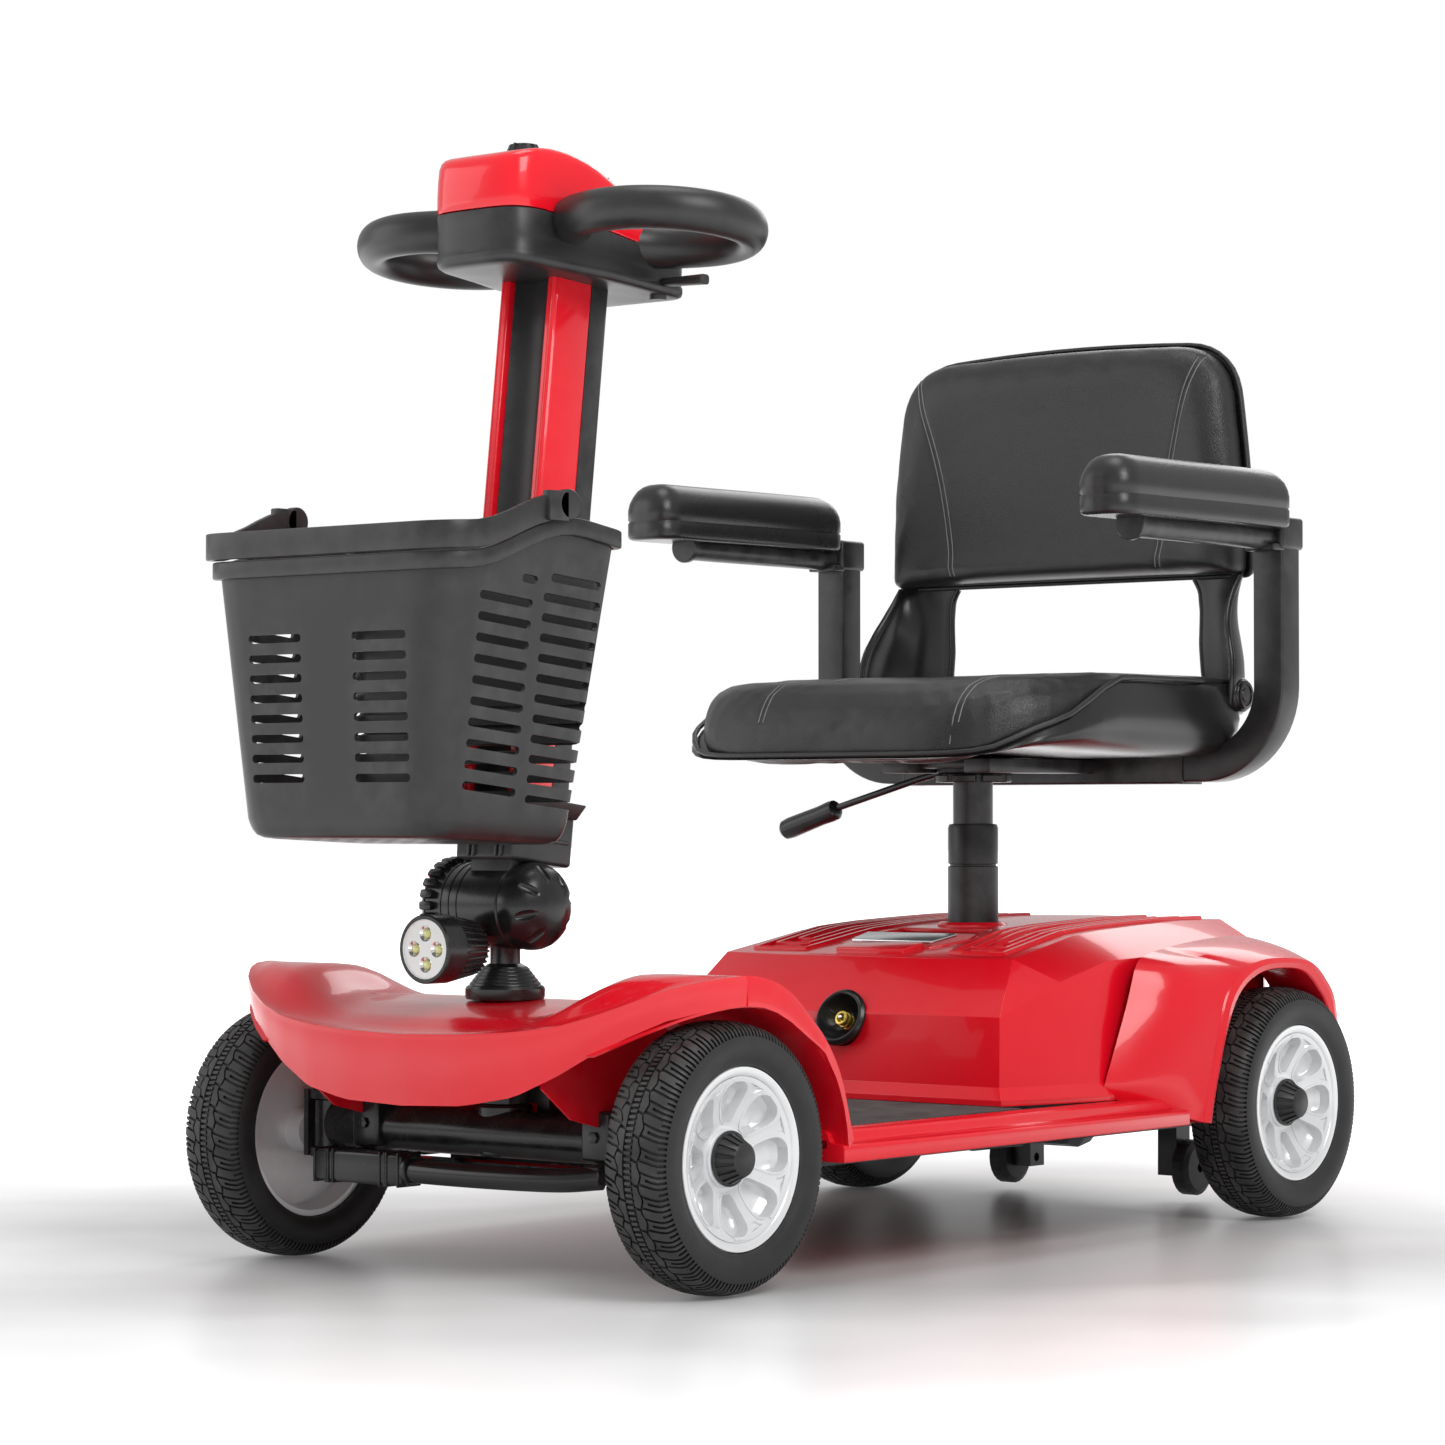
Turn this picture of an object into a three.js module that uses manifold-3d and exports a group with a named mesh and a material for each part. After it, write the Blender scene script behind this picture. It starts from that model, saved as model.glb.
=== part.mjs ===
// Four-wheel mobility scooter, millimetres, +Z up, the scooter faces -Y, its rider's left is +X.
import * as THREE from 'three'
import { mergeVertices } from 'three/addons/utils/BufferGeometryUtils.js'
import Module from 'manifold-3d'

const wasm = await Module()
wasm.setup()

// driving dimensions
const GAP = 0.3 // clearance between touching pieces
const WALL = 3.5 // moulded body panels
const WHEEL_R = 100
const RIM_R = 67.6
const AXLE_Z = 100
const FRONT_Y = -320
const REAR_Y = 436
const FRONT_TRACK = 216
const REAR_TRACK = 225
const KINGPIN_X = 178
const ARM_Y = 55 // kingpin to track rod pin
const COLUMN_Y = -310
const FOLD_Z = 280 // tiller fold axis
const LEAN = -0.1172 // tiller lean, radians about X
const BODY_HALF = 245 // half width over the sills and fenders
const FLOOR_Z = 108
const POST_Y = 302 // seat post axis
const SEAT_HALF = 200
const PIVOT = { y: 423, z: 454 } // backrest fold axis
const ARM_X = 239 // armrest post centre
const ARM_FRAME_Y = 420
const CROSS_Z = 393 // seat cross tube centre
const FLIP_Z = 585 // armrest flip axis

// ---------- small helpers ----------
const group = new THREE.Group()
const material = (color, roughness, metalness = 0) =>
  new THREE.MeshStandardMaterial({ color, roughness, metalness })
const paint = {
  red: material(0xd3122a, 0.2),
  black: material(0x1b1b1d, 0.45),
  satin: material(0x202124, 0.3),
  rubber: material(0x161617, 0.8),
  vinyl: material(0x232427, 0.5),
  silver: material(0xdcdee0, 0.3, 0.6),
  steel: material(0x8f9296, 0.35, 1),
  frame: material(0x151516, 0.5, 0.4),
  lens: material(0xd8d8d2, 0.1),
  casing: material(0x3a3f44, 0.6)
}

// closed geometry to solid and back; a mesh that faces inwards is turned round
const solid = (geometry) => {
  const g = geometry.clone()
  g.deleteAttribute('normal')
  g.deleteAttribute('uv')
  const m = mergeVertices(g, 1e-3)
  const corners = m.attributes.position.array
  const index = Array.from(m.index.array)
  let volume = 0
  for (let i = 0; i < index.length; i += 3) {
    const [a, b, c] = index.slice(i, i + 3).map((k) => new THREE.Vector3().fromArray(corners, k * 3))
    volume += a.dot(b.cross(c))
  }
  const order = (i) => (volume > 0
    ? [index[i], index[i + 1], index[i + 2]]
    : [index[i], index[i + 2], index[i + 1]])
  const triVerts = new Uint32Array(index.length)
  for (let i = 0; i < index.length; i += 3) triVerts.set(order(i), i)
  const vertProperties = new Float32Array(corners)
  return new wasm.Manifold(new wasm.Mesh({ numProp: 3, vertProperties, triVerts }))
}
const geometryOf = (s) => {
  const m = s.getMesh()
  const g = new THREE.BufferGeometry()
  g.setAttribute('position', new THREE.BufferAttribute(new Float32Array(m.vertProperties), 3))
  g.setIndex(new THREE.BufferAttribute(new Uint32Array(m.triVerts), 1))
  g.computeVertexNormals()
  return g
}
const join = (...list) => list.reduce((a, b) => a.add(b))
const cut = (base, ...list) => list.reduce((a, b) => a.subtract(b), base)

// a box between two corners
const boxOf = (x0, x1, y0, y1, z0, z1) => {
  const g = new THREE.BoxGeometry(x1 - x0, y1 - y0, z1 - z0)
  g.translate((x0 + x1) / 2, (y0 + y1) / 2, (z0 + z1) / 2)
  return solid(g)
}
// a turned piece: profile points are [radius, distance], axis is 'x', 'y' or 'z'
const turned = (axis, at, profile, segments = 12) => {
  const g = new THREE.LatheGeometry(profile.map(([r, d]) => new THREE.Vector2(r, d)), segments)
  if (axis === 'z') g.rotateX(Math.PI / 2)
  if (axis === 'x') g.rotateZ(-Math.PI / 2)
  g.translate(...at)
  return solid(g)
}
// a plain round bar from d0 to d1 along an axis
const bar = (axis, at, r, d0, d1, segments = 12) =>
  turned(axis, at, [[0, d0], [r, d0], [r, d1], [0, d1]], segments)
const tubeBar = (axis, at, r, bore, d0, d1, segments = 12) =>
  turned(axis, at, [[bore, d0], [r, d0], [r, d1], [bore, d1], [bore, d0]], segments)
const shapeOf = (points) => new THREE.Shape(points.map(([a, b]) => new THREE.Vector2(a, b)))
// side outline given as [y, z], carried from x0 to x1
const sideExtrude = (points, x0, x1) => {
  const g = new THREE.ExtrudeGeometry(shapeOf(points), { depth: x1 - x0, bevelEnabled: false })
  g.rotateY(Math.PI / 2)
  g.rotateX(Math.PI / 2)
  g.translate(x0, 0, 0)
  return solid(g)
}
// plan outline given as [x, y] or a Shape, carried from z0 to z1
const planExtrude = (points, z0, z1, curveSegments = 8) => {
  const shape = Array.isArray(points) ? shapeOf(points) : points
  const g = new THREE.ExtrudeGeometry(shape, { depth: z1 - z0, bevelEnabled: false, curveSegments })
  g.translate(0, 0, z0)
  return solid(g)
}
const roundRect = (x0, x1, y0, y1, r, rBack = r) => {
  const s = new THREE.Shape()
  s.moveTo(x0 + r, y0)
  s.lineTo(x1 - r, y0)
  s.absarc(x1 - r, y0 + r, r, -Math.PI / 2, 0)
  s.lineTo(x1, y1 - rBack)
  s.absarc(x1 - rBack, y1 - rBack, rBack, 0, Math.PI / 2)
  s.lineTo(x0 + rBack, y1)
  s.absarc(x0 + rBack, y1 - rBack, rBack, Math.PI / 2, Math.PI)
  s.lineTo(x0, y0 + r)
  s.absarc(x0 + r, y0 + r, r, Math.PI, Math.PI * 1.5)
  return s
}
// a bar of elliptic section along a smooth path
const sweep = (points, a, b, steps, sides = 12, closed = false) => {
  const path = new THREE.CatmullRomCurve3(points.map((p) => new THREE.Vector3(...p)), closed)
  const section = new THREE.Shape()
  for (let i = 0; i < sides; i++) {
    const t = (i / sides) * Math.PI * 2
    if (i === 0) section.moveTo(a, 0)
    else section.lineTo(a * Math.cos(t), b * Math.sin(t))
  }
  return solid(new THREE.ExtrudeGeometry(section, { extrudePath: path, steps }))
}
// a skin of rings: each ring is a list of points of the same length, the two ends are fanned shut
const loft = (rings) => {
  const n = rings[0].length
  const position = rings.flat(2)
  const index = []
  for (let i = 0; i + 1 < rings.length; i++) {
    for (let k = 0; k < n; k++) {
      const a = i * n + k
      const b = i * n + ((k + 1) % n)
      index.push(a, b, b + n, a, b + n, a + n)
    }
  }
  const last = (rings.length - 1) * n
  const capFront = THREE.ShapeUtils.triangulateShape(flatten(rings[0]), [])
  const capBack = THREE.ShapeUtils.triangulateShape(flatten(rings[rings.length - 1]), [])
  // the outline's own turning sense decides which way the two end faces look
  const flip = THREE.ShapeUtils.isClockWise(flatten(rings[0]))
  for (const [p, q, r] of capFront) index.push(...(flip ? [p, q, r] : [p, r, q]))
  for (const [p, q, r] of capBack) index.push(last + p, last + (flip ? r : q), last + (flip ? q : r))
  const g = new THREE.BufferGeometry()
  g.setAttribute('position', new THREE.Float32BufferAttribute(position, 3))
  g.setIndex(index)
  return solid(g)
}
// rings lie in planes across X or across Y: that coordinate is dropped
const flatten = (ring) => {
  const acrossX = ring.every((p) => Math.abs(p[0] - ring[0][0]) < 1e-6)
  return ring.map((p) => (acrossX ? new THREE.Vector2(p[1], p[2]) : new THREE.Vector2(p[0], p[2])))
}
const add = (parent, name, shape, mat, place) => {
  const mesh = new THREE.Mesh(geometryOf(shape), mat)
  mesh.name = name
  if (place) mesh.position.set(...place)
  parent.add(mesh)
  return mesh
}
// straight-line interpolation in a table of [x, value]
const table = (rows, x) => {
  if (x <= rows[0][0]) return rows[0][1]
  for (let i = 1; i < rows.length; i++) {
    const [x1, v1] = rows[i]
    const [x0, v0] = rows[i - 1]
    if (x <= x1) return v0 + ((v1 - v0) * (x - x0)) / (x1 - x0)
  }
  return rows[rows.length - 1][1]
}
const clamp01 = (t) => Math.min(1, Math.max(0, t))
const smooth = (t) => clamp01(t) ** 2 * (3 - 2 * clamp01(t))

// ---------- front body shell: nose, fenders, floor pan and sills in one moulding ----------
// per half width: how far forward the top edge is, how high it is, and how low the fascia hangs
const noseStations = [
  { x: 0, y: -428, z: 187, low: 134 },
  { x: 60, y: -426, z: 189, low: 138 },
  { x: 105, y: -420, z: 192, low: 148 },
  { x: 140, y: -412, z: 196, low: 150 },
  { x: 168, y: -404, z: 204, low: 150 },
  { x: 192, y: -392, z: 214, low: 150 },
  { x: 215, y: -374, z: 227, low: 150 },
  { x: 235, y: -352, z: 233, low: 120 },
  { x: BODY_HALF, y: -330, z: 233, low: 98 }
]
const valley = [
  [-428, 187], [-400, 196], [-350, 207], [-300, 209], [-262, 208], [-236, 185], [-215, 140], [-195, 98]
]
const hump = [
  [-352, 234], [-305, 231], [-262, 216], [-248, 203], [-226, 184], [-208, 157], [-199, 128], [-195, 98]
]
const noseRows = [0, 0.16, 0.36, 0.52, 0.67, 0.77, 0.86, 0.94, 1]
const noseBody = (inset, drop) => {
  const half = noseStations.map((s) => ({ ...s, x: (s.x * (BODY_HALF - inset)) / BODY_HALF }))
  const both = [...half.slice(1).reverse().map((s) => ({ ...s, x: -s.x })), ...half]
  return loft(both.map(({ x, y, z, low }) => {
    const side = smooth((Math.abs(x) - 85) / 90)
    const back = -195 - inset
    const top = noseRows.map((t) => {
      const yy = y + inset + (back - y - inset) * t
      const lifted = (1 - side) * table(valley, yy) + side * table(hump, yy)
      const edge = smooth(t / 0.2)
      return [x, yy, Math.max(z * (1 - edge) + lifted * edge - inset, 98 - drop)]
    })
    return [[x, y + 2 + inset, low - drop], ...top, [x, back, 98 - drop - 1]]
  }))
}
const frontShell = () => {
  const nose = cut(noseBody(0, 0), noseBody(WALL, 60))
  const pan = boxOf(-232, 232, -204, 92, 98, FLOOR_Z)
  const sills = [-1, 1].map((s) =>
    planExtrude(
      roundRect(Math.min(s * 212, s * BODY_HALF), Math.max(s * 212, s * BODY_HALF), -204, 268, 6), 91,
      113, 3
    ))
  const arches = [-1, 1].map((s) =>
    bar('x', [0, FRONT_Y, AXLE_Z], 112, s > 0 ? 118 : -262, s > 0 ? 262 : -118, 40))
  const columnHole = bar('z', [0, COLUMN_Y, 0], 15, 150, 260)
  return cut(join(nose, pan, ...sills), ...arches, columnHole)
}
const floorMat = () => {
  const mat = planExtrude(roundRect(-200, 200, -182, 92, 12), FLOOR_Z + GAP, FLOOR_Z + 4, 4)
  const grooves = Array.from(
    { length: 10 }, (_, i) => boxOf(-190, 190, -168 + i * 26, -160 + i * 26, FLOOR_Z + 2.5, FLOOR_Z + 6)
  )
  return cut(mat, ...grooves)
}

// ---------- rear body shell ----------
const SOCKET_AT = [9, 0, 179]
// along the scooter: top height, half width on top, shoulder height, half width at the shoulder
const rearStations = [
  { y: 97, top: 186, topHalf: 162, shoulder: 182, half: 170 },
  { y: 143, top: 229, topHalf: 152, shoulder: 194, half: 182 },
  { y: 232, top: 246, topHalf: 146, shoulder: 222, half: 188 },
  { y: 302, top: 252, topHalf: 142, shoulder: 229, half: 190 },
  { y: 490, top: 257, topHalf: 134, shoulder: 232, half: 186 },
  { y: 522, top: 250, topHalf: 126, shoulder: 214, half: 168 }
]
const rearBody = (inset, drop) => loft(rearStations.map((s, i) => {
  const y = s.y + (i === 0 ? inset : 0) - (i === rearStations.length - 1 ? inset : 0)
  const [a, b] = [s.topHalf - inset, s.half - inset]
  const low = FLOOR_Z + 1 - drop
  return [
    [-b, y, low], [-b, y, s.shoulder - inset], [-a, y, s.top - inset], [a, y, s.top - inset],
    [b, y, s.shoulder - inset], [b, y, low]
  ]
}))
const fenderLine = [
  [270, 98], [284, 140], [302, 205], [330, 258], [365, 250], [400, 240], [464, 233], [500, 206],
  [522, 158], [524, 98]
]
const fenderArch = [
  [282, 80], [301, 143], [328, 202], [350, 215], [373, 222], [422, 226], [472, 216], [506, 190],
  [545, 140], [545, 80]
]
const fender = (s, inset) => {
  const line = fenderLine.map(([y, z]) =>
    [y + (y < 400 ? inset : -inset), z < 100 ? z - inset * 3 : z - inset])
  const [inner, outer] = [140, BODY_HALF + 5 - inset]
  return sideExtrude(line, s > 0 ? inner : -outer, s > 0 ? outer : -inner)
}
const rearShell = () => {
  const outer = join(rearBody(0, 0), fender(1, 0), fender(-1, 0))
  const inner = join(rearBody(WALL, 40), fender(1, WALL), fender(-1, WALL))
  const arches = [-1, 1].map((s) => sideExtrude(fenderArch, s > 0 ? 182 : -262, s > 0 ? 262 : -182))
  const sillSeat = [-1, 1].map((s) =>
    boxOf(Math.min(s * 205, s * 262), Math.max(s * 205, s * 262), 60, 270, 80, 113 + GAP))
  const postHole = bar('z', [0, POST_Y, 0], 23 + GAP, 200, 300)
  const socketHole = bar('y', SOCKET_AT, 17, 80, 150, 24)
  const under = boxOf(-300, 300, 60, 560, 60, FLOOR_Z + 1)
  const grab = planExtrude([[-42, 180], [42, 180], [56, 212], [42, 246], [-42, 246], [-56, 212]], 226, 300)
  const pocket = planExtrude(
    [[-45, 177], [45, 177], [60, 212], [45, 249], [-45, 249], [-60, 212]], 221, 240
  )
  return cut(
    join(cut(outer, inner), rearBody(0, 0).intersect(pocket)), ...arches, ...sillSeat, postHole,
    socketHole, under, grab
  )
}

// ---------- frame, drive and batteries ----------
const mainFrame = () => {
  const rails = [-1, 1].map((s) => boxOf(s * 110 - 12, s * 110 + 12, -240, 512, 72, 96.5))
  const noses = [-1, 1].map((s) => boxOf(s * 110 - 12, s * 110 + 12, -296, -230, 84, 96.5))
  const frontCross = boxOf(-122, 122, -287, -268, 90, 108)
  const crossings = [[-232, -208], [60, 84], [288, 316], [490, 512]]
    .map(([a, b]) => boxOf(-122, 122, a, b, 72, 96.5))
  const head = tubeBar('z', [0, COLUMN_Y, 0], 19, 12.3, 130, 190, 14)
  const stays = [-1, 1].map((s) => boxOf(s * 30 - 6, s * 30 + 6, -300, -270, 95, 170))
  const gusset = cut(boxOf(-36, 36, -300, -280, 130, 170), bar('z', [0, COLUMN_Y, 0], 14, 100, 200))
  const postPlate = boxOf(-40, 40, 262, 327, 120, 126)
  const postLegs = [-1, 1].map((s) => boxOf(s * 34 - 5, s * 34 + 5, 290, 314, 80, 124))
  const leverBracket = boxOf(17, 22, 493, 507, 90, 128)
  const leverPin = bar('x', [0, 500, 120], 3, 21, 34, 8)
  const tipArms = [-1, 1].map((s) => boxOf(s * 80 - 10, s * 80 + 10, 490, 512, 24, 90))
  const tipBores = [-1, 1].map((s) => bar('x', [0, 500, 32], 4.3, s * 80 - 30, s * 80 + 30, 8))
  return cut(
    join(
      ...rails, ...noses, frontCross, ...crossings, head, ...stays, gusset, postPlate, ...postLegs,
      leverBracket, leverPin, ...tipArms
    ),
    ...tipBores
  )
}
const frontBeam = () => {
  const beam = bar('x', [0, FRONT_Y, 107], 18, -168, 168, 14)
  const boss = bar('z', [0, COLUMN_Y, 0], 22, 90, 129 - GAP, 14)
  const ends = [-1, 1].map((s) => bar('z', [s * KINGPIN_X, FRONT_Y, 0], 13, 88, 126, 14))
  const clamps = [-1, 1].map((s) => boxOf(s * 118 - 14, s * 118 + 14, -343, -297, 92, 131))
  const bores = [-1, 1].map((s) => bar('z', [s * KINGPIN_X, FRONT_Y, 0], 6.8, 60, 150, 8))
  return cut(join(beam, boss, ...ends, ...clamps), ...bores, bar('z', [0, COLUMN_Y, 0], 12.3, 60, 150, 14))
}
const bumperBar = () => {
  const rod = sweep(
    [[-128, -345, 82], [-90, -357, 79], [0, -360, 78], [90, -357, 79], [128, -345, 82]], 9, 9, 8, 10
  )
  const sleeve = boxOf(-146, -52, -371, -346, 66, 92)
  const hangers = [-1, 1].map((s) => boxOf(s * 122 - 8, s * 122 + 8, -352, -332, 76, 92 - GAP))
  return join(rod, sleeve, ...hangers)
}
const knuckle = (s) => {
  const at = [s * KINGPIN_X, FRONT_Y, 0]
  const plates = [[126 + GAP, 133], [81, 88 - GAP]].map(([a, b]) => bar('z', at, 15, a, b, 14))
  const pin = bar('z', at, 6, 80, 134, 8)
  const web = boxOf(
    Math.min(s * (KINGPIN_X + 13.4), s * 196), Math.max(s * (KINGPIN_X + 13.4), s * 196), FRONT_Y - 10,
    FRONT_Y + 10, 81, 133
  )
  const stub = bar('x', [0, FRONT_Y, AXLE_Z], 7.5, s > 0 ? 195 : -234, s > 0 ? 234 : -195, 12)
  const arm = boxOf(s * KINGPIN_X - 7, s * KINGPIN_X + 7, FRONT_Y, FRONT_Y + ARM_Y + 8, 81, 87)
  const rodPin = bar('z', [s * KINGPIN_X, FRONT_Y + ARM_Y, 0], 4, 66, 82, 8)
  return join(...plates, pin, web, stub, arm, rodPin)
}
const trackRod = () => {
  const rod = bar('x', [0, FRONT_Y + ARM_Y, 74], 6, -KINGPIN_X, KINGPIN_X, 8)
  const eyes = [-1, 1].map((s) => bar('z', [s * KINGPIN_X, FRONT_Y + ARM_Y, 0], 9, 68, 80.6, 12))
  const lug = boxOf(-9, 9, FRONT_Y + ARM_Y, COLUMN_Y + ARM_Y + 9, 69, 79)
  const holes = [-1, 0, 1].map((k) =>
    bar('z', [k * KINGPIN_X, (k ? FRONT_Y : COLUMN_Y) + ARM_Y, 0], 4.6, 50, 100, 8))
  return cut(join(rod, ...eyes, lug), ...holes)
}
const transaxle = () => {
  const housing = turned(
    'x', [0, REAR_Y, AXLE_Z],
    [[0, -70], [34, -70], [44, -60], [50, -20], [50, 20], [36, 32], [20, 40], [20, 186], [0, 186]], 16
  )
  const tube = bar('x', [0, REAR_Y, AXLE_Z], 20, -186, -60, 16)
  const axle = bar('x', [0, REAR_Y, AXLE_Z], 7.5, -243, 243, 12)
  const railSeats = [-1, 1].map((s) => boxOf(s * 110 - 13, s * 110 + 13, 380, 490, 60, 96.5 + GAP))
  return cut(join(housing, tube, axle), ...railSeats, bar('y', [-20, 0, 95], 44 + GAP, 320, 386 + GAP, 24))
}

const freewheelLever = () => {
  const arm = boxOf(22 + GAP, 30, 496, 504, 120, 168)
  const hub = bar('x', [0, 500, 120], 8, 22 + GAP, 30)
  const tab = boxOf(16, 36, 494, 506, 164, 172)
  return cut(join(arm, hub, tab), bar('x', [0, 500, 120], 3.5, 0, 60))
}

// ---------- wheels, built about their own centres with the outside towards +X ----------
const tyre = () => turned('x', [0, 0, 0], [
  [RIM_R + GAP, -20], [78, -28], [89, -29], [97, -22], [WHEEL_R, 0],
  [97, 22], [89, 29], [78, 28], [RIM_R + GAP, 20], [RIM_R + GAP, -20]
], 24)
const rim = () => {
  const barrel = turned('x', [0, 0, 0], [
    [60, -20], [RIM_R, -20], [RIM_R, 20], [62, 20], [57, 8], [57, -4], [60, -20]
  ], 24)
  const hub = turned('x', [0, 0, 0], [[8, -17], [18, -17], [21, 12], [16, 26], [8, 26], [8, -17]], 16)
  const spokes = Array.from({ length: 8 }, (_, i) => {
    const g = new THREE.BoxGeometry(9, 12, 42)
    g.translate(3, 0, 38)
    g.rotateX((i * Math.PI) / 4)
    return solid(g)
  })
  return join(barrel, hub, ...spokes)
}

// ---------- steering column and headlight ----------
const columnCollar = () => turned('z', [0, COLUMN_Y, 0], [
  [11, 211], [38, 211], [38, 219], [31, 221], [31, 228], [25, 230], [23, 237], [11, 237], [11, 211]
], 20)
const barrelProfile = (d0, d1, r, bore) => [
  [bore, d0], [r - 2, d0], [r, d0 + 2], [r, d1 - 2], [r - 2, d1], [bore, d1], [bore, d0]
]
const foldAt = [0, COLUMN_Y, FOLD_Z]
const steeringYoke = () => {
  const shaft = bar('z', [0, COLUMN_Y, 0], 10, 70, 244, 14)
  const pitman = boxOf(-7, 7, COLUMN_Y, COLUMN_Y + ARM_Y + 7, 81, 88)
  const dragPin = bar('z', [0, COLUMN_Y + ARM_Y, 0], 4, 67, 83, 8)
  const saddle = bar('z', [0, COLUMN_Y, 0], 26, 237 + GAP, 248.4, 28)
  const cheeks = [[-56, -22], [22, 44]].map(([a, b]) =>
    turned('x', foldAt, barrelProfile(a, b, 31.5, 5.4), 20))
  const feet = [-1, 1].map((s) => boxOf(s * 27 - 5, s * 27 + 5, COLUMN_Y - 16, COLUMN_Y + 16, 238, 256))
  const lug = sideExtrude(
    [
      [-300, 238], [-348, 241], [-355, 245], [-356, 249], [-354, 254], [-348, 257], [-344, 256],
      [-335, 247.5], [-300, 247.5]
    ],
    -6, 6
  )
  return cut(
    join(shaft, pitman, dragPin, saddle, ...cheeks, ...feet, lug), bar('x', foldAt, 5.4, -80, 80, 12),
    bar('x', [0, -348, 249], 2.4, -20, 20, 8)
  )
}
const ratchetCap = () => {
  const cap = turned(
    'x', foldAt, [[5.4, -66], [24, -66], [31.5, -60], [31.5, -56 - GAP], [5.4, -56 - GAP], [5.4, -66]],
    24
  )
  return cap
}
const tillerKnob = () => {
  const dome = turned(
    'x', foldAt, [[0, 44 + GAP], [32, 44 + GAP], [32.5, 50], [30, 60], [24, 68], [14, 73], [0, 74]], 16
  )
  const stud = bar('x', foldAt, 5, -70, 46, 12)
  const scoops = Array.from({ length: 8 }, (_, i) => {
    const g = new THREE.SphereGeometry(8, 6, 4)
    g.scale(1.5, 1, 1)
    g.translate(66, 0, 33)
    g.rotateX((i * Math.PI) / 4)
    g.translate(...foldAt)
    return solid(g)
  })
  return cut(join(dome, stud), ...scoops)
}
const headlightBody = () => {
  const tub = turned('y', [0, 0, 249], [
    [0, -343], [16, -343], [26, -363], [26, -400], [22.5, -400], [22.5, -394], [0, -394]
  ], 24)
  const fins = Array.from(
    { length: 3 }, (_, i) => tubeBar('y', [0, 0, 249], 30, 24, -369 - i * 8, -365 - i * 8, 16)
  )
  const slot = boxOf(-7, 7, -362, -330, 236.5, 261.5)
  const pin = bar('x', [0, -348, 249], 2, -10, 10, 8)
  return join(cut(tub, ...fins, slot), pin)
}
const headlightLens = () => turned(
  'y', [0, 0, 249], [[0, -399], [22.2, -399], [22.2, -394 - GAP], [0, -394 - GAP]], 24
)

// ---------- tiller, drawn upright about the fold axis and leaned as a group ----------
const TILLER_TOP = 483
const tillerBracket = () => {
  const hub = turned('x', [0, 0, 0], barrelProfile(-21.7, 21.7, 31, 5.4), 20)
  const neck = boxOf(-21.7, 21.7, -22, 24, 20, 48)
  const socket = boxOf(-31, 31, -31, 40, 40, 74)
  return cut(
    join(hub, neck, socket), boxOf(-28 - GAP, 28 + GAP, -28 - GAP, 37 + GAP, 60, 80),
    bar('x', [0, 0, 0], 5.4, -40, 40, 12)
  )
}
const tillerCore = () => {
  const front = [
    [-19, -24], [-12, -19], [0, -17], [12, -19], [19, -24], [19, -16], [24, -16], [24, 12], [28, 12],
    [28, 30], [20, 37], [-20, 37], [-28, 30], [-28, 12], [-24, 12], [-24, -16], [-19, -16]
  ]
  return join(
    planExtrude(front, 60 + GAP, TILLER_TOP), boxOf(-19, 19, -33, -24, 236, 262),
    boxOf(-19, 19, -33, -18, 240, 258)
  )
}
const tillerTrim = (s) => planExtrude([
  [s * 19.3, -28], [s * 28, -28], [s * 28, 11.7], [s * 24.3, 11.7], [s * 24.3, -16.3], [s * 19.3, -16.3]
], 60 + GAP * 2, TILLER_TOP - 1)

// the console is drawn in the scooter's own frame and leaned back by the inverse
const consoleOutline = (grow) => {
  const s = new THREE.Shape()
  s.moveTo(-46 - grow, -326)
  s.quadraticCurveTo(-46 - grow, -347 - grow, -30, -349 - grow)
  s.lineTo(30, -349 - grow)
  s.quadraticCurveTo(46 + grow, -347 - grow, 46 + grow, -326)
  s.lineTo(60 + grow, -250)
  s.lineTo(60 + grow, -170)
  s.quadraticCurveTo(58 + grow, -162 + grow, 50, -162 + grow)
  s.lineTo(-50, -162 + grow)
  s.quadraticCurveTo(-58 - grow, -162 + grow, -60 - grow, -170)
  s.lineTo(-60 - grow, -250)
  s.closePath()
  return s
}
const consoleBase = () => {
  const block = planExtrude(consoleOutline(0), 740, 830, 4)
  const over = sideExtrude([[-360, 811], [-262, 800], [-150, 779], [-150, 860], [-360, 860]], -90, 90)
  const under = sideExtrude([[-360, 767.5], [-262, 764], [-150, 754], [-150, 700], [-360, 700]], -90, 90)
  const leverSlot = boxOf(40, 90, -202, -170, 760, 778)
  const leverPivot = bar('z', [48, -186, 0], 3.4, 740, 800, 8)
  return cut(block, over, under, leverSlot, leverPivot)
}
const consoleCover = () => {
  const block = planExtrude(consoleOutline(-1), 770, 870, 4)
  const under = sideExtrude(
    [[-360, 811 + GAP], [-262, 800 + GAP], [-150, 779 + GAP], [-150, 700], [-360, 700]], -90, 90
  )
  const over = sideExtrude(
    [
      [-362, 838], [-345, 850], [-325, 856], [-300, 856], [-272, 849], [-240, 834], [-200, 815],
      [-160, 802], [-150, 800], [-150, 900], [-362, 900]
    ],
    -90, 90
  )
  const dialHole = bar('z', [0, -290, 0], 14 + GAP, 846, 900, 24)
  const keyHole = bar('z', [24, -222, 0], 7 + GAP, 805, 900, 12)
  const hornHole = bar('z', [-24, -222, 0], 8 + GAP, 805, 900, 12)
  return cut(block, under, over, dialHole, keyHole, hornHole)
}
const LOOP = { x: 104, y: -250, z: 797, a: 73, b: 62.5, slope: -0.108 }
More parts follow.
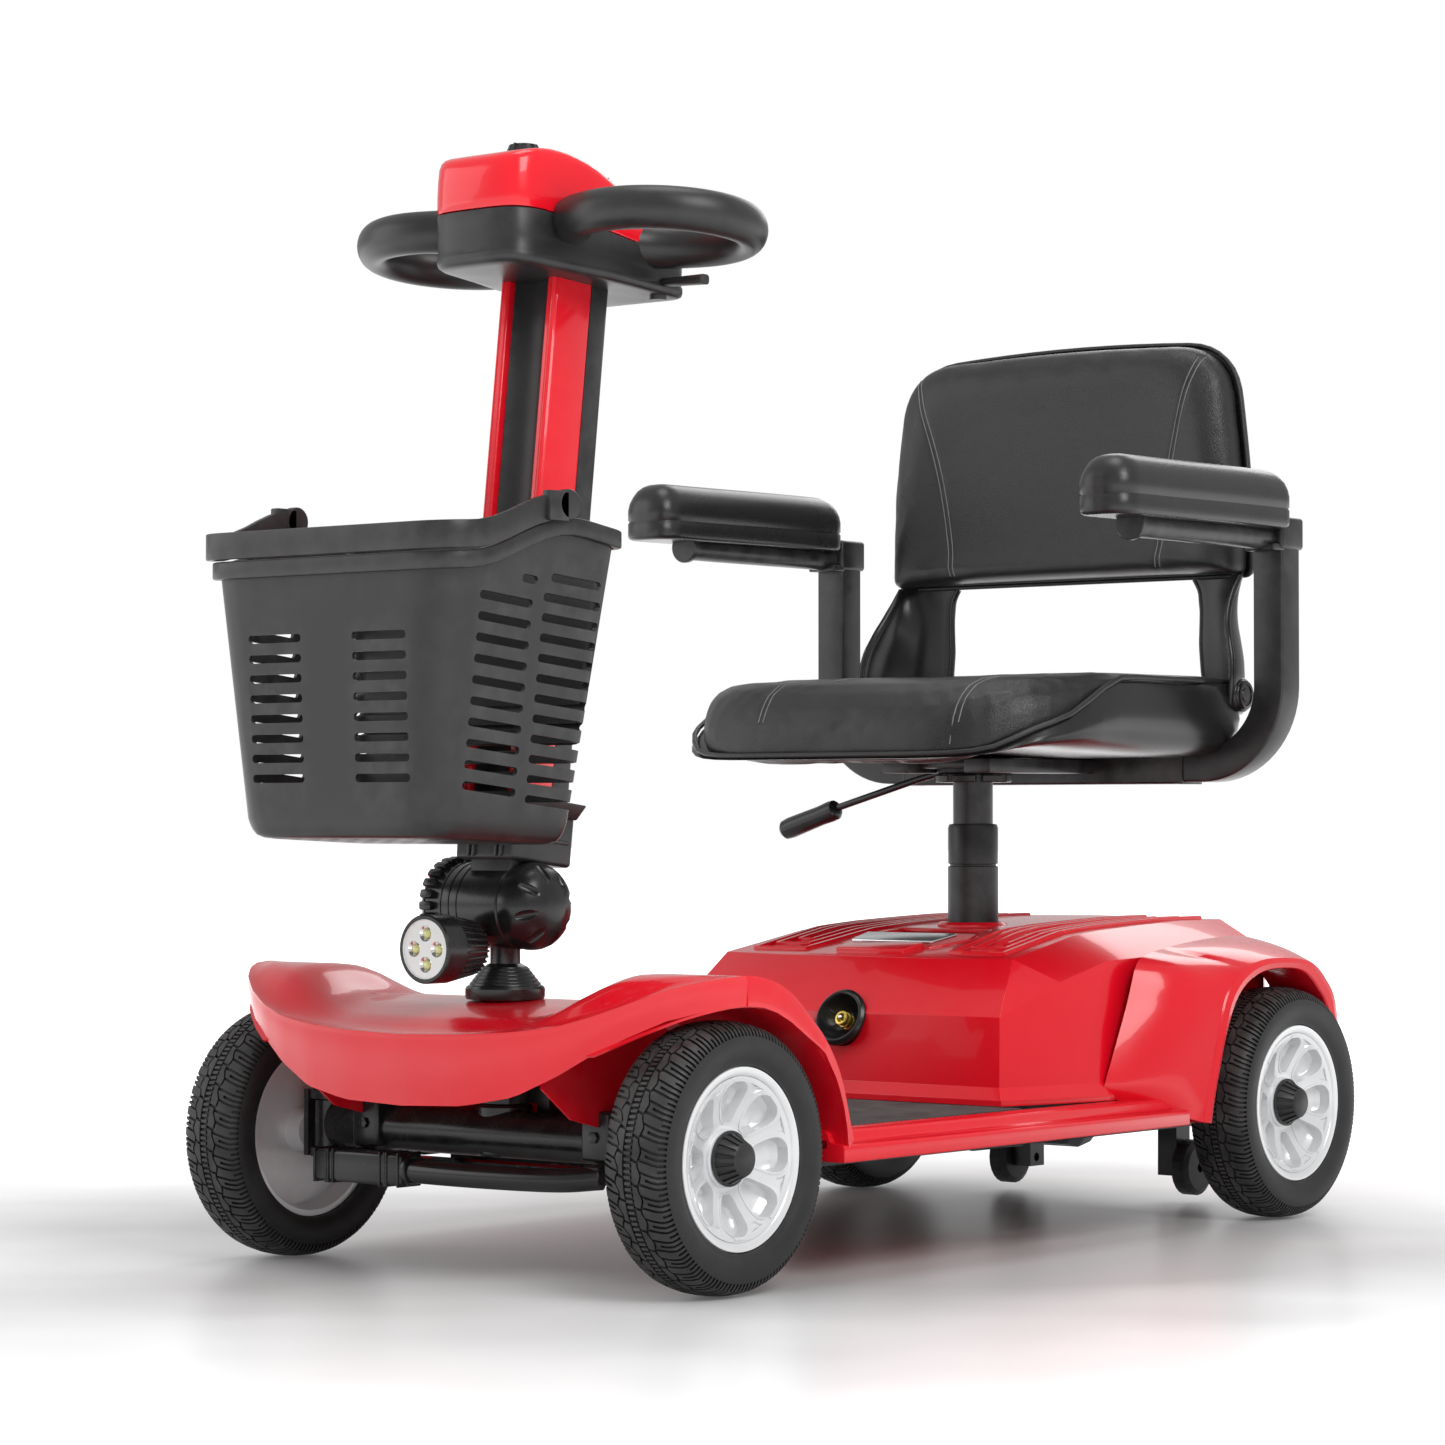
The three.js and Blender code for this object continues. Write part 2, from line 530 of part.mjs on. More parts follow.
const handleLoop = (s) => {
  const end = (143 * Math.PI) / 180
  const points = Array.from({ length: 17 }, (_, i) => {
    const t = -end + (2 * end * i) / 16
    const y = LOOP.b * Math.sin(t)
    return [s * (LOOP.x + LOOP.a * Math.cos(t)), LOOP.y + y, LOOP.z + LOOP.slope * y]
  })
  const consoleSpace = planExtrude(consoleOutline(GAP), 700, 900, 4)
  return cut(sweep(points, 18, 15, 20, 10), consoleSpace)
}
const throttleLever = () => {
    const blade = planExtrude([[50, -192], [104, -205], [108, -199], [104, -192], [52, -180]], 762, 770)
  const pin = bar('z', [48, -186, 0], 3, 752, 784, 8)
  return join(blade, pin, bar('z', [48, -186, 0], 7, 762, 772, 8))
}
const speedDial = () => join(bar('z', [0, -290, 0], 14, 847, 862, 24), boxOf(-2, 2, -302, -278, 861, 866))
const keySwitch = () => join(
  bar('z', [24, -222, 0], 7, 806, 834, 8), boxOf(22.8, 25.2, -230, -214, 832, 846)
)
const hornButton = () => bar('z', [-24, -222, 0], 8, 812, 832, 8)

// ---------- basket ----------
// corner half widths and places, front then back, bottom then top
const BASKET = {
  frontLow: [99, -498, 341], frontTop: [123, -507, 558], backLow: [107, -357, 334],
  backTop: [140, -337, 558]
}
const basketBlock = (grow, low, high) => {
  const ring = (f, b) => {
    const [xf, yf, zf] = [f[0] + grow, f[1] - grow, f[2]]
    const [xb, yb, zb] = [b[0] + grow, b[1] + grow, b[2]]
    const r = 20
    return [
      [-xf + r, yf, zf], [xf - r, yf, zf], [xf, yf + r, zf], [xb, yb, zb], [-xb, yb, zb],
      [-xf, yf + r, zf]
    ]
  }
  const raise = (p, dz) => [p[0], p[1], p[2] + dz]
  const lowRing = ring(raise(BASKET.frontLow, low), raise(BASKET.backLow, low))
  const topRing = ring(raise(BASKET.frontTop, high), raise(BASKET.backTop, high))
  const position = [...lowRing, ...topRing].flat()
  const n = 6
  const index = [0, 2, 1, 0, 3, 2, 0, 4, 3, 0, 5, 4, 6, 7, 8, 6, 8, 9, 6, 9, 10, 6, 10, 11]
  for (let k = 0; k < n; k++) index.push(k, (k + 1) % n, n + ((k + 1) % n), k, n + ((k + 1) % n), n + k)
  const g = new THREE.BufferGeometry()
  g.setAttribute('position', new THREE.Float32BufferAttribute(position, 3))
  g.setIndex(index)
  return solid(g)
}
const basket = () => {
  const tub = cut(basketBlock(0, 0, -2), basketBlock(-3, 4, 20))
  const band = basketBlock(5, 0, 0).intersect(boxOf(-200, 200, -600, -250, 528, 600))
  const rimBand = cut(band, basketBlock(-3, 4, 20))
  const hook = cut(boxOf(-16, 16, -352, -320, 500, 524), basketBlock(-3, 4, 20))
  const studs = [-1, 1].map((s) => bar('x', [0, -398, 566], 3, s > 0 ? 122 : -148, s > 0 ? 148 : -122, 8))
  const ears = [-1, 1].map((s) => boxOf(s * 128 - 2.5, s * 128 + 2.5, -406, -390, 545, 574))
  return join(tub, rimBand, ...ears, ...studs, hook)
}
const basketHandle = () => {
  const sides = [-1, 1].map((s) => {
    const outline = [
      [s * 132, -398], [s * 136.5, -398], [s * 124, -500], [s * 104, -523], [s * 104, -517],
      [s * 120, -498]
    ]
    return planExtrude(outline, 560, 572)
  })
  const eyes = [-1, 1].map((s) => bar('x', [0, -398, 566], 8, s > 0 ? 132 : -138, s > 0 ? 138 : -132, 14))
  const front = boxOf(-106, 106, -523, -517, 561, 571)
  return cut(join(front, ...sides, ...eyes), bar('x', [0, -398, 566], 3.5, -200, 200, 8))
}

// ---------- seat ----------
const seatTube = () => {
  const tube = tubeBar('z', [0, POST_Y, 0], 22.5, 18, 126 + GAP, 342, 20)
  return cut(tube, tubeBar('z', [0, POST_Y, 0], 30, 21.5, 304, 306, 20))
}
const seatPost = () => join(
  bar('z', [0, POST_Y, 0], 17.5, 190, 380, 20), bar('z', [0, POST_Y, 0], 34, 378, 385, 20)
)
const SLIDER = 12 // half side of the inner arm tube
const crossTube = () => {
  const plate = boxOf(-52, 52, 244, 412, 385 + GAP, 391)
  const spacer = boxOf(-45, 45, 250, 354, 390, 398)
  const tube = boxOf(-150, 150, ARM_FRAME_Y - 15, ARM_FRAME_Y + 15, CROSS_Z - 15, CROSS_Z + 15)
  const bore = boxOf(
    -160, 160, ARM_FRAME_Y - SLIDER - GAP, ARM_FRAME_Y + SLIDER + GAP, CROSS_Z - SLIDER - GAP,
    CROSS_Z + SLIDER + GAP
  )
  const leverSlot = boxOf(-60, -30, 296, 308, 380, 394)
  return cut(join(plate, spacer, tube), bore, leverSlot)
}
const seatPan = () => {
  const pan = planExtrude(roundRect(-186, 186, 104, 402, 110, 30), 398 + GAP, 410, 5)
  const rear = planExtrude(roundRect(-184, 184, 300, 432, 20), 409, 418, 4)
  const ears = [-1, 1].map((s) =>
    sideExtrude(
      [[403, 412], [440, 412], [438, 460], [430, 468], [416, 468], [408, 460]], s > 0 ? 191 : -196,
      s > 0 ? 196 : -191
    ))
  const tabs = [-1, 1].map((s) =>
    boxOf(Math.min(s * 170, s * 196), Math.max(s * 170, s * 196), 403, 438, 411, 417.7))
  const pins = [-1, 1].map((s) =>
    bar('x', [0, PIVOT.y, PIVOT.z], 5, s > 0 ? 195 : -207, s > 0 ? 207 : -195, 12))
  const trim = planExtrude(roundRect(-186, 186, 104, 402, 110, 30), 409, 418, 5)
  return join(pan, rear, trim, ...ears, ...tabs, ...pins)
}
const seatCushion = () => {
  const plan = new THREE.Shape()
  plan.moveTo(-SEAT_HALF, 215)
  plan.bezierCurveTo(-SEAT_HALF, 120, -150, 96, 0, 94)
  plan.bezierCurveTo(150, 96, SEAT_HALF, 120, SEAT_HALF, 215)
  plan.lineTo(SEAT_HALF, 372)
  plan.quadraticCurveTo(SEAT_HALF, 396, 189, 398)
  plan.lineTo(186, 434)
  plan.lineTo(-186, 434)
  plan.lineTo(-189, 398)
  plan.quadraticCurveTo(-SEAT_HALF, 396, -SEAT_HALF, 372)
  return planExtrude(plan, 418 + GAP, 459, 8)
}
const backOutline = (grow) => {
  const s = new THREE.Shape()
  s.moveTo(-196 - grow, 566 - grow)
  s.lineTo(196 + grow, 566 - grow)
  s.lineTo(202 + grow, 580)
  s.lineTo(190 + grow, 730)
  s.quadraticCurveTo(184 + grow, 764 + grow, 150, 769 + grow)
  s.quadraticCurveTo(0, 790 + grow, -150, 769 + grow)
  s.quadraticCurveTo(-184 - grow, 764 + grow, -190 - grow, 730)
  s.lineTo(-202 - grow, 580)
  s.closePath()
  return s
}
// the back stands upright: its outline is drawn in X and Z and carried from y0 to y1
const upright = (shape, y0, y1, curveSegments = 6) => {
  const g = new THREE.ExtrudeGeometry(shape, { depth: y1 - y0, bevelEnabled: false, curveSegments })
  g.rotateX(Math.PI / 2)
  g.translate(0, y1, 0)
  return solid(g)
}
const backCushion = () => upright(backOutline(0), 424, 458)
const backShell = () => {
  const shell = upright(backOutline(0), 458 + GAP, 466)
  const wrap = new THREE.Shape()
  wrap.moveTo(-204, 404)
  wrap.lineTo(-199, 404)
  wrap.lineTo(-199, 440)
  wrap.quadraticCurveTo(-198, 461, -174, 461)
  wrap.lineTo(-112, 461)
  wrap.lineTo(-112, 466)
  wrap.lineTo(-174, 466)
  wrap.quadraticCurveTo(-204, 466, -204, 440)
  const wing = cut(
    planExtrude(wrap, 440, 575, 6), bar('y', [-112, 0, 470], 60, 400, 500, 28),
    boxOf(-210, -180, 395, 425, 560, 580)
  )
  const underCushion = boxOf(-230, -100, 400, 458 + GAP, 565.5, 600)
  const open = cut(wing, underCushion, bar('x', [0, PIVOT.y, PIVOT.z], 5.4, -230, -180, 12))
  const other = mirrored(open)
  const strip = boxOf(-196, 196, 458 + GAP, 466, 560, 572)
  return join(shell, strip, open, other)
}
const seatLever = () => {
  const rod = sweep(
    [[-34, POST_Y, 387.1], [-56, POST_Y, 386.6], [-100, POST_Y, 372], [-150, POST_Y, 356]], 2, 2, 10, 8
  )
  const grip = sweep([[-148, POST_Y, 356.6], [-176, POST_Y, 347.5], [-213, POST_Y, 335]], 9.5, 9.5, 4, 16)
  return join(rod, grip)
}

// ---------- armrests, drawn for +X and mirrored ----------
const armFrame = () => {
  const slider = boxOf(
    60, 164, ARM_FRAME_Y - SLIDER, ARM_FRAME_Y + SLIDER, CROSS_Z - SLIDER, CROSS_Z + SLIDER
  )
  const low = boxOf(150 + GAP, 186, ARM_FRAME_Y - 15, ARM_FRAME_Y + 15, CROSS_Z - 15, CROSS_Z + 15)
  const bend = new THREE.Shape()
  bend.moveTo(185, CROSS_Z - 15)
  bend.absarc(ARM_X + 15 - 68, CROSS_Z - 15 + 68, 68, -Math.PI / 2, 0)
  bend.lineTo(ARM_X + 15, FLIP_Z)
  bend.lineTo(ARM_X - 15, FLIP_Z)
  bend.lineTo(ARM_X - 15, CROSS_Z - 15 + 68)
  bend.absarc(ARM_X + 15 - 68, CROSS_Z - 15 + 68, 38, 0, -Math.PI / 2, true)
  bend.lineTo(185, CROSS_Z + 15)
  bend.closePath()
  const post = upright(bend, ARM_FRAME_Y - 15, ARM_FRAME_Y + 15, 8)
  const top = bar('x', [0, ARM_FRAME_Y, FLIP_Z], 15, ARM_X - 15, ARM_X + 15, 24)
  const bore = bar('x', [0, ARM_FRAME_Y, FLIP_Z], 4.6, ARM_X - 30, ARM_X + 30, 8)
  return cut(join(slider, low, post, top), bore)
}
const armTube = () => {
  const cheeks = [[-19, -15.4], [15.4, 19]].map(([a, b]) =>
    boxOf(ARM_X + a, ARM_X + b, ARM_FRAME_Y - 25, ARM_FRAME_Y + 19, FLIP_Z - 8, FLIP_Z + 22))
  const lid = boxOf(ARM_X - 19, ARM_X + 19, ARM_FRAME_Y - 25, ARM_FRAME_Y + 19, FLIP_Z + 16, FLIP_Z + 22)
  const nose = boxOf(ARM_X - 19, ARM_X + 19, ARM_FRAME_Y - 25, ARM_FRAME_Y - 16, FLIP_Z + 2, FLIP_Z + 22)
  const pin = bar('x', [0, ARM_FRAME_Y, FLIP_Z], 4, ARM_X - 21, ARM_X + 21, 8)
  const tube = bar('y', [ARM_X + 2, 0, FLIP_Z + 14], 8, 190, ARM_FRAME_Y - 20, 12)
  return join(...cheeks, lid, nose, pin, tube)
}
const armPad = () => {
  const pad = planExtrude(
    roundRect(ARM_X + 4 - 27, ARM_X + 4 + 27, 138, 400, 24, 10), FLIP_Z + 22 + GAP, 646, 5
  )
  const ribs = [208, 330].map((y) => boxOf(ARM_X - 10, ARM_X + 14, y, y + 20, FLIP_Z + 8, FLIP_Z + 24))
  const tube = bar('y', [ARM_X + 2, 0, FLIP_Z + 14], 8 + GAP, 150, ARM_FRAME_Y - 15, 12)
  return cut(join(pad, ...ribs), tube)
}
const mirrored = (s) => {
  const g = geometryOf(s)
  g.scale(-1, 1, 1)
  return solid(g)
}

// ---------- assembly ----------
add(group, 'main_frame', mainFrame(), paint.frame)
add(group, 'front_shell', frontShell(), paint.red)
add(group, 'floor_mat', floorMat(), paint.rubber)
add(group, 'rear_shell', rearShell(), paint.red)
add(group, 'front_axle_beam', frontBeam(), paint.frame)
add(group, 'front_bumper_bar', bumperBar(), paint.frame)
add(group, 'track_rod', trackRod(), paint.steel)
add(group, 'transaxle', transaxle(), paint.casing)
add(group, 'drive_motor', bar('y', [-20, 0, 95], 44, 328, 386, 24), paint.black)
add(group, 'freewheel_lever', freewheelLever(), paint.red)
add(group, 'battery_pack', boxOf(-125, 125, 130, 258, 97, 205), paint.casing)
add(group, 'controller_box', boxOf(-70, 70, 350, 420, 170, 205), paint.steel)
add(
  group, 'charge_socket',
  turned('y', SOCKET_AT, [[0, 92], [22, 92], [22, 97 - GAP], [16.5, 97 - GAP], [16.5, 112], [0, 112]], 24),
  paint.black
)
for (const [side, s] of [['left', 1], ['right', -1]]) {
  const turn = s > 0 ? 0 : Math.PI
  add(group, `knuckle_${side}`, knuckle(s), paint.steel)
  for (const [end, x, y] of [['front', FRONT_TRACK, FRONT_Y], ['rear', REAR_TRACK, REAR_Y]]) {
    const place = [s * x, y, AXLE_Z]
    add(group, `tyre_${end}_${side}`, tyre(), paint.rubber, place).rotation.z = turn
    add(group, `rim_${end}_${side}`, rim(), paint.silver, place).rotation.z = turn
  }
  const tipWheel = turned(
    'x', [0, 0, 0], [[4.5, -9], [20, -9], [25, -6], [25, 6], [20, 9], [4.5, 9], [4.5, -9]], 24
  )
  add(group, `anti_tip_wheel_${side}`, tipWheel, paint.rubber, [s * 100, 500, 32])
}
add(group, 'column_collar', columnCollar(), paint.black)
add(group, 'steering_yoke', steeringYoke(), paint.satin)
add(group, 'ratchet_cap', ratchetCap(), paint.black)
add(group, 'tiller_knob', tillerKnob(), paint.satin)
add(group, 'headlight_body', headlightBody(), paint.black)
add(group, 'headlight_lens', headlightLens(), paint.lens)

const tiller = new THREE.Group()
tiller.position.set(...foldAt)
tiller.rotation.x = LEAN
group.add(tiller)
add(tiller, 'tiller_bracket', tillerBracket(), paint.satin)
add(tiller, 'tiller_core', tillerCore(), paint.satin)
add(tiller, 'tiller_trim_left', tillerTrim(1), paint.red)
add(tiller, 'tiller_trim_right', tillerTrim(-1), paint.red)

add(group, 'console_base', consoleBase(), paint.black)
add(group, 'console_cover', consoleCover(), paint.red)
add(group, 'handle_loop_left', handleLoop(1), paint.black)
add(group, 'handle_loop_right', handleLoop(-1), paint.black)
add(group, 'throttle_lever', throttleLever(), paint.black)
add(group, 'speed_dial', speedDial(), paint.black)
add(group, 'key_switch', keySwitch(), paint.steel)
add(group, 'horn_button', hornButton(), paint.red)
add(group, 'basket', basket(), paint.black)
add(group, 'basket_handle', basketHandle(), paint.black)

add(group, 'seat_socket_tube', seatTube(), paint.frame)
add(group, 'seat_post_inner', seatPost(), paint.frame)
add(group, 'seat_cross_tube', crossTube(), paint.frame)
add(group, 'seat_pan', seatPan(), paint.black)
add(group, 'seat_cushion', seatCushion(), paint.vinyl)
add(group, 'seat_lever', seatLever(), paint.black)
add(group, 'backrest_shell', backShell(), paint.black)
add(group, 'backrest_cushion', backCushion(), paint.vinyl)
for (const [side, flip] of [['left', (p) => p], ['right', mirrored]]) {
  add(group, `arm_frame_${side}`, flip(armFrame()), paint.frame)
  add(group, `arm_tube_${side}`, flip(armTube()), paint.frame)
  add(group, `arm_pad_${side}`, flip(armPad()), paint.black)
}

export default group
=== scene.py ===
# Four-wheel mobility scooter: the finished look, built around the fixed CAD frame.
import bpy
import math
from mathutils import Matrix, Vector


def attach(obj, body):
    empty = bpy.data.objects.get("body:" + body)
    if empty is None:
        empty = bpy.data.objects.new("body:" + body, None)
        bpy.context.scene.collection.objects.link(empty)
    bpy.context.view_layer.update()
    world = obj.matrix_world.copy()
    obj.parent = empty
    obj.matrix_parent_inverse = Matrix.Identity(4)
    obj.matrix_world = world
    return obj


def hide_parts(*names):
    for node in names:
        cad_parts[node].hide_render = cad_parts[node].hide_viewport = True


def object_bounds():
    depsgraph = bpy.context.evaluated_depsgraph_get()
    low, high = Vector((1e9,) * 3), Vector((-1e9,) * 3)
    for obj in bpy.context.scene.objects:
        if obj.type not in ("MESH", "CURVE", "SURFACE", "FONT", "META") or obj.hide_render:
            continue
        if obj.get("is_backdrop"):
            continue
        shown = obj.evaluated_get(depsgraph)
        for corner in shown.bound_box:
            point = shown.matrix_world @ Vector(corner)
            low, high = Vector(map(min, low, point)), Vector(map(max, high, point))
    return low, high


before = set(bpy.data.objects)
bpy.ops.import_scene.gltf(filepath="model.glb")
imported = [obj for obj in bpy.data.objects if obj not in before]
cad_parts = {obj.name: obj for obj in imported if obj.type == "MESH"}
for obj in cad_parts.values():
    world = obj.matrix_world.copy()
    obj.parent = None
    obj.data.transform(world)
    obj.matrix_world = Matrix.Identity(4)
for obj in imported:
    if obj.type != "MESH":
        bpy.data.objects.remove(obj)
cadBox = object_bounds()
mm = 0.001


# small tools used by every piece

def plain(value):
    if hasattr(value, "__len__") and not isinstance(value, str):
        return [plain(v) for v in value]
    return float(value)


def only(piece):
    if bpy.context.object and bpy.context.object.mode != "OBJECT":
        bpy.ops.object.mode_set(mode="OBJECT")
    bpy.ops.object.select_all(action="DESELECT")
    piece.select_set(True)
    bpy.context.view_layer.objects.active = piece


def clearAll():
    if bpy.context.object and bpy.context.object.mode != "OBJECT":
        bpy.ops.object.mode_set(mode="OBJECT")
    bpy.ops.object.select_all(action="DESELECT")


def fresh(name):
    piece = bpy.context.object  # what the last add operator made
    piece.name = name
    piece.data.name = name
    only(piece)
    return piece


def leaveEdit():
    bpy.ops.object.mode_set(mode="OBJECT")


def pick(piece, test, kind="FACE"):
    # goes into edit mode with only the faces, edges or corners that pass the test selected;
    # places are given to the test in millimetres
    only(piece)
    bpy.ops.object.mode_set(mode="EDIT")
    bpy.ops.mesh.select_mode(type=kind)
    bpy.ops.mesh.select_all(action="DESELECT")
    leaveEdit()
    mesh = piece.data
    count = 0
    if kind == "FACE":
        for face in mesh.polygons:
            if test(face.center / mm, face.normal):
                face.select = True
                count += 1
    elif kind == "EDGE":
        for edge in mesh.edges:
            a, b = [mesh.vertices[i].co / mm for i in edge.vertices]
            if test(a, b):
                edge.select = True
                count += 1
    else:
        for corner in mesh.vertices:
            if test(corner.co / mm):
                corner.select = True
                count += 1
    bpy.ops.object.mode_set(mode="EDIT")
    return count


def tidyMesh(piece, merge=0.01):
    only(piece)
    bpy.ops.object.mode_set(mode="EDIT")
    bpy.ops.mesh.select_mode(type="VERT")
    bpy.ops.mesh.select_all(action="SELECT")
    bpy.ops.mesh.remove_doubles(threshold=merge * mm)
    bpy.ops.mesh.dissolve_degenerate(threshold=0.001 * mm)
    bpy.ops.mesh.select_all(action="SELECT")
    bpy.ops.mesh.normals_make_consistent(inside=False)
    leaveEdit()


def applyAll(piece):
    only(piece)
    for modifier in list(piece.modifiers):
        bpy.ops.object.modifier_apply(modifier=modifier.name)


def soften(piece, width, segments=2, angle=30):
    bevel = piece.modifiers.new("soft edges", "BEVEL")
    bevel.width = width * mm
    bevel.segments = segments
    bevel.limit_method = "ANGLE"
    bevel.angle_limit = math.radians(angle)
    bevel.harden_normals = False
    applyAll(piece)


def divide(piece, levels=1, simple=False):
    sub = piece.modifiers.new("finer", "SUBSURF")
    sub.levels = levels
    sub.render_levels = levels
    if simple:
        sub.subdivision_type = "SIMPLE"
    applyAll(piece)


def thicken(piece, thickness, offset=-1):
    wall = piece.modifiers.new("wall", "SOLIDIFY")
    wall.thickness = thickness * mm
    wall.offset = offset
    wall.use_even_offset = True
    applyAll(piece)


def smoothShade(piece, angle=32):
    only(piece)
    bpy.ops.object.shade_smooth_by_angle(angle=math.radians(angle))


def carve(piece, *cutters, how="DIFFERENCE", solver="EXACT"):
    for cutter in cutters:
        cut = piece.modifiers.new("carve", "BOOLEAN")
        cut.operation = how
        cut.solver = solver
        cut.object = cutter
        applyAll(piece)
        bpy.data.objects.remove(cutter, do_unlink=True)
    return piece


def gather(name, *pieces):
    # several closed shapes kept in one object
    clearAll()
    for piece in pieces:
        piece.select_set(True)
    bpy.context.view_layer.objects.active = pieces[0]
    bpy.ops.object.join()
    return fresh(name)


def twin(piece, name, move=None):
    copy = piece.copy()
    copy.data = piece.data.copy()
    copy.name = name
    copy.data.name = name
    bpy.context.collection.objects.link(copy)
    if move is not None:
        copy.data.transform(move)
        if move.determinant() < 0:
            copy.data.flip_normals()
    return copy


def place(x=0, y=0, z=0):
    return Matrix.Translation(Vector((x, y, z)) * mm)


def turn(angle, axis, x=0, y=0, z=0):
    # rotation by degrees about an axis through a point
    return place(x, y, z) @ Matrix.Rotation(math.radians(angle), 4, axis) @ place(-x, -y, -z)


def outline(name, points, along):
    # a flat ring of placed points, filled and pulled out along a direction
    bpy.ops.mesh.primitive_circle_add(vertices=len(points), radius=0.1, fill_type="NGON")
    piece = fresh(name)
    for corner, point in zip(piece.data.vertices, points):
        corner.co = Vector(point) * mm
    pick(piece, lambda c, n: True)
    bpy.ops.mesh.extrude_region_move(TRANSFORM_OT_translate={"value": Vector(along) * mm})
    bpy.ops.mesh.select_all(action="SELECT")
    bpy.ops.mesh.normals_make_consistent(inside=False)
    leaveEdit()
    return piece


def sheet(name, rows):
    # a grid whose rows of points are put where they belong
    across = len(rows[0])
    bpy.ops.mesh.primitive_grid_add(x_subdivisions=across - 1, y_subdivisions=len(rows) - 1, size=0.1)
    piece = fresh(name)
    for index, corner in enumerate(piece.data.vertices):
        corner.co = Vector(rows[index // across][index % across]) * mm
    return piece


def middle(ring):
    total = Vector((0, 0, 0))
    for point in ring:
        total += Vector(point)
    return total / len(ring)


def loft(name, rings, closed=False, merge=0.01):
    # rings of points joined into a skin, its ends drawn in to a point or run round to the start
    rows = [[Vector(p) for p in ring] + [Vector(ring[0])] for ring in rings]
    if closed:
        rows.append(rows[0])
    else:
        rows.insert(0, [middle(rings[0])] * len(rows[0]))
        rows.append([middle(rings[-1])] * len(rows[0]))
    piece = sheet(name, rows)
    tidyMesh(piece, merge)
    return piece


def turned(name, profile, steps=64, axis="X", centre=(0, 0, 0)):
    # profile points are (along the axis, radius), a closed outline spun all the way round
    bpy.ops.mesh.primitive_circle_add(vertices=len(profile), radius=0.1, fill_type="NOTHING")
    piece = fresh(name)
    side = {"X": (Vector((1, 0, 0)), Vector((0, 0, 1))), "Y": (Vector((0, 1, 0)), Vector((0, 0, 1))),
            "Z": (Vector((0, 0, 1)), Vector((1, 0, 0)))}[axis]
    for corner, (along, radius) in zip(piece.data.vertices, profile):
        corner.co = (Vector(centre) + side[0] * along + side[1] * radius) * mm
    only(piece)
    bpy.ops.object.mode_set(mode="EDIT")
    bpy.ops.mesh.select_all(action="SELECT")
    bpy.ops.mesh.spin(steps=steps, angle=math.tau, center=Vector(centre) * mm, axis=side[0])
    leaveEdit()
    tidyMesh(piece, 0.004)
    return piece


def curvePoints(points, count=8):
    # a smooth run through the given places
    path = [Vector(p) for p in points]
    ends = [path[0] * 2 - path[1]] + path + [path[-1] * 2 - path[-2]]
    run = []
    for i in range(1, len(ends) - 2):
        a, b, c, d = ends[i - 1:i + 3]
        for step in range(count):
            t = step / count
            run.append(0.5 * (2 * b + (c - a) * t + (2 * a - 5 * b + 4 * c - d) * t * t
                              + (3 * b - a - 3 * c + d) * t ** 3))
    run.append(path[-1])
    return run


def tube(name, path, section, up=(0, 0, 1), closed=False, scale=None):
    # a section of (side, up) points carried along a path
    rings = []
    count = len(path)
    for i, spot in enumerate(path):
        ahead = path[(i + 1) % count] if closed or i < count - 1 else path[i]
        behind = path[i - 1] if closed or i > 0 else path[i]
        direction = (Vector(ahead) - Vector(behind)).normalized()
        side = direction.cross(Vector(up))
        side = side.normalized() if side.length > 0.01 else Vector((1, 0, 0))
        rise = side.cross(direction)
        grow = scale(i / (count - 1)) if scale else 1
        rings.append([Vector(spot) + side * (s * grow) + rise * (u * grow) for s, u in section])
    return loft(name, rings, closed)


def roundSection(width, height=None, count=24):
    height = height or width
    return [(width * math.cos(math.tau * i / count), height * math.sin(math.tau * i / count))
            for i in range(count)]


def boxSection(width, height, corner, steps=4):
    points = []
    for quarter, (sx, sy) in enumerate(((1, 1), (-1, 1), (-1, -1), (1, -1))):
        for step in range(steps + 1):
            angle = math.pi / 2 * (quarter + step / steps)
            points.append((sx * (width - corner) + corner * math.cos(angle),
                           sy * (height - corner) + corner * math.sin(angle)))
    return points


def block(name, low, high, corner=0.0, segments=3):
    low, high = Vector(low), Vector(high)
    bpy.ops.mesh.primitive_cube_add(size=1, location=(low + high) / 2 * mm, scale=(high - low) * mm)
    piece = fresh(name)
    bpy.ops.object.transform_apply(location=True, rotation=True, scale=True)
    if corner:
        soften(piece, corner, segments)
    return piece


def rod(name, start, end, radius, count=32, corner=0.0):
    start, end = Vector(start), Vector(end)
    along = end - start
    bpy.ops.mesh.primitive_cylinder_add(vertices=count, radius=radius * mm, depth=along.length * mm,
                                        location=(start + end) / 2 * mm,
                                        rotation=along.to_track_quat("Z", "X").to_euler())
    piece = fresh(name)
    bpy.ops.object.transform_apply(location=True, rotation=True, scale=True)
    if corner:
        soften(piece, corner, 3, 50)
    return piece


def lerp(table, value):
    # straight-line reading of a table of (key, value) pairs in rising order
    if value <= table[0][0]:
        return table[0][1]
    for (a, va), (b, vb) in zip(table, table[1:]):
        if value <= b:
            return va + (vb - va) * (value - a) / (b - a)
    return table[-1][1]


def ease(t):
    t = max(0.0, min(1.0, t))
    return t * t * (3 - 2 * t)


def dress(piece, finish, body, slot=None, instead=()):
    # material and body of a finished piece, and the CAD parts it stands in for are hidden
    finishes = finish if isinstance(finish, (list, tuple)) else [finish]
    if len(finishes) == 1:
        piece.data.materials.clear()
        piece.data.materials.append(finishes[0])
    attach(piece, body)
    if instead:
        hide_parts(*([instead] if isinstance(instead, str) else instead))
    return piece


# shader groups shared by the finishes

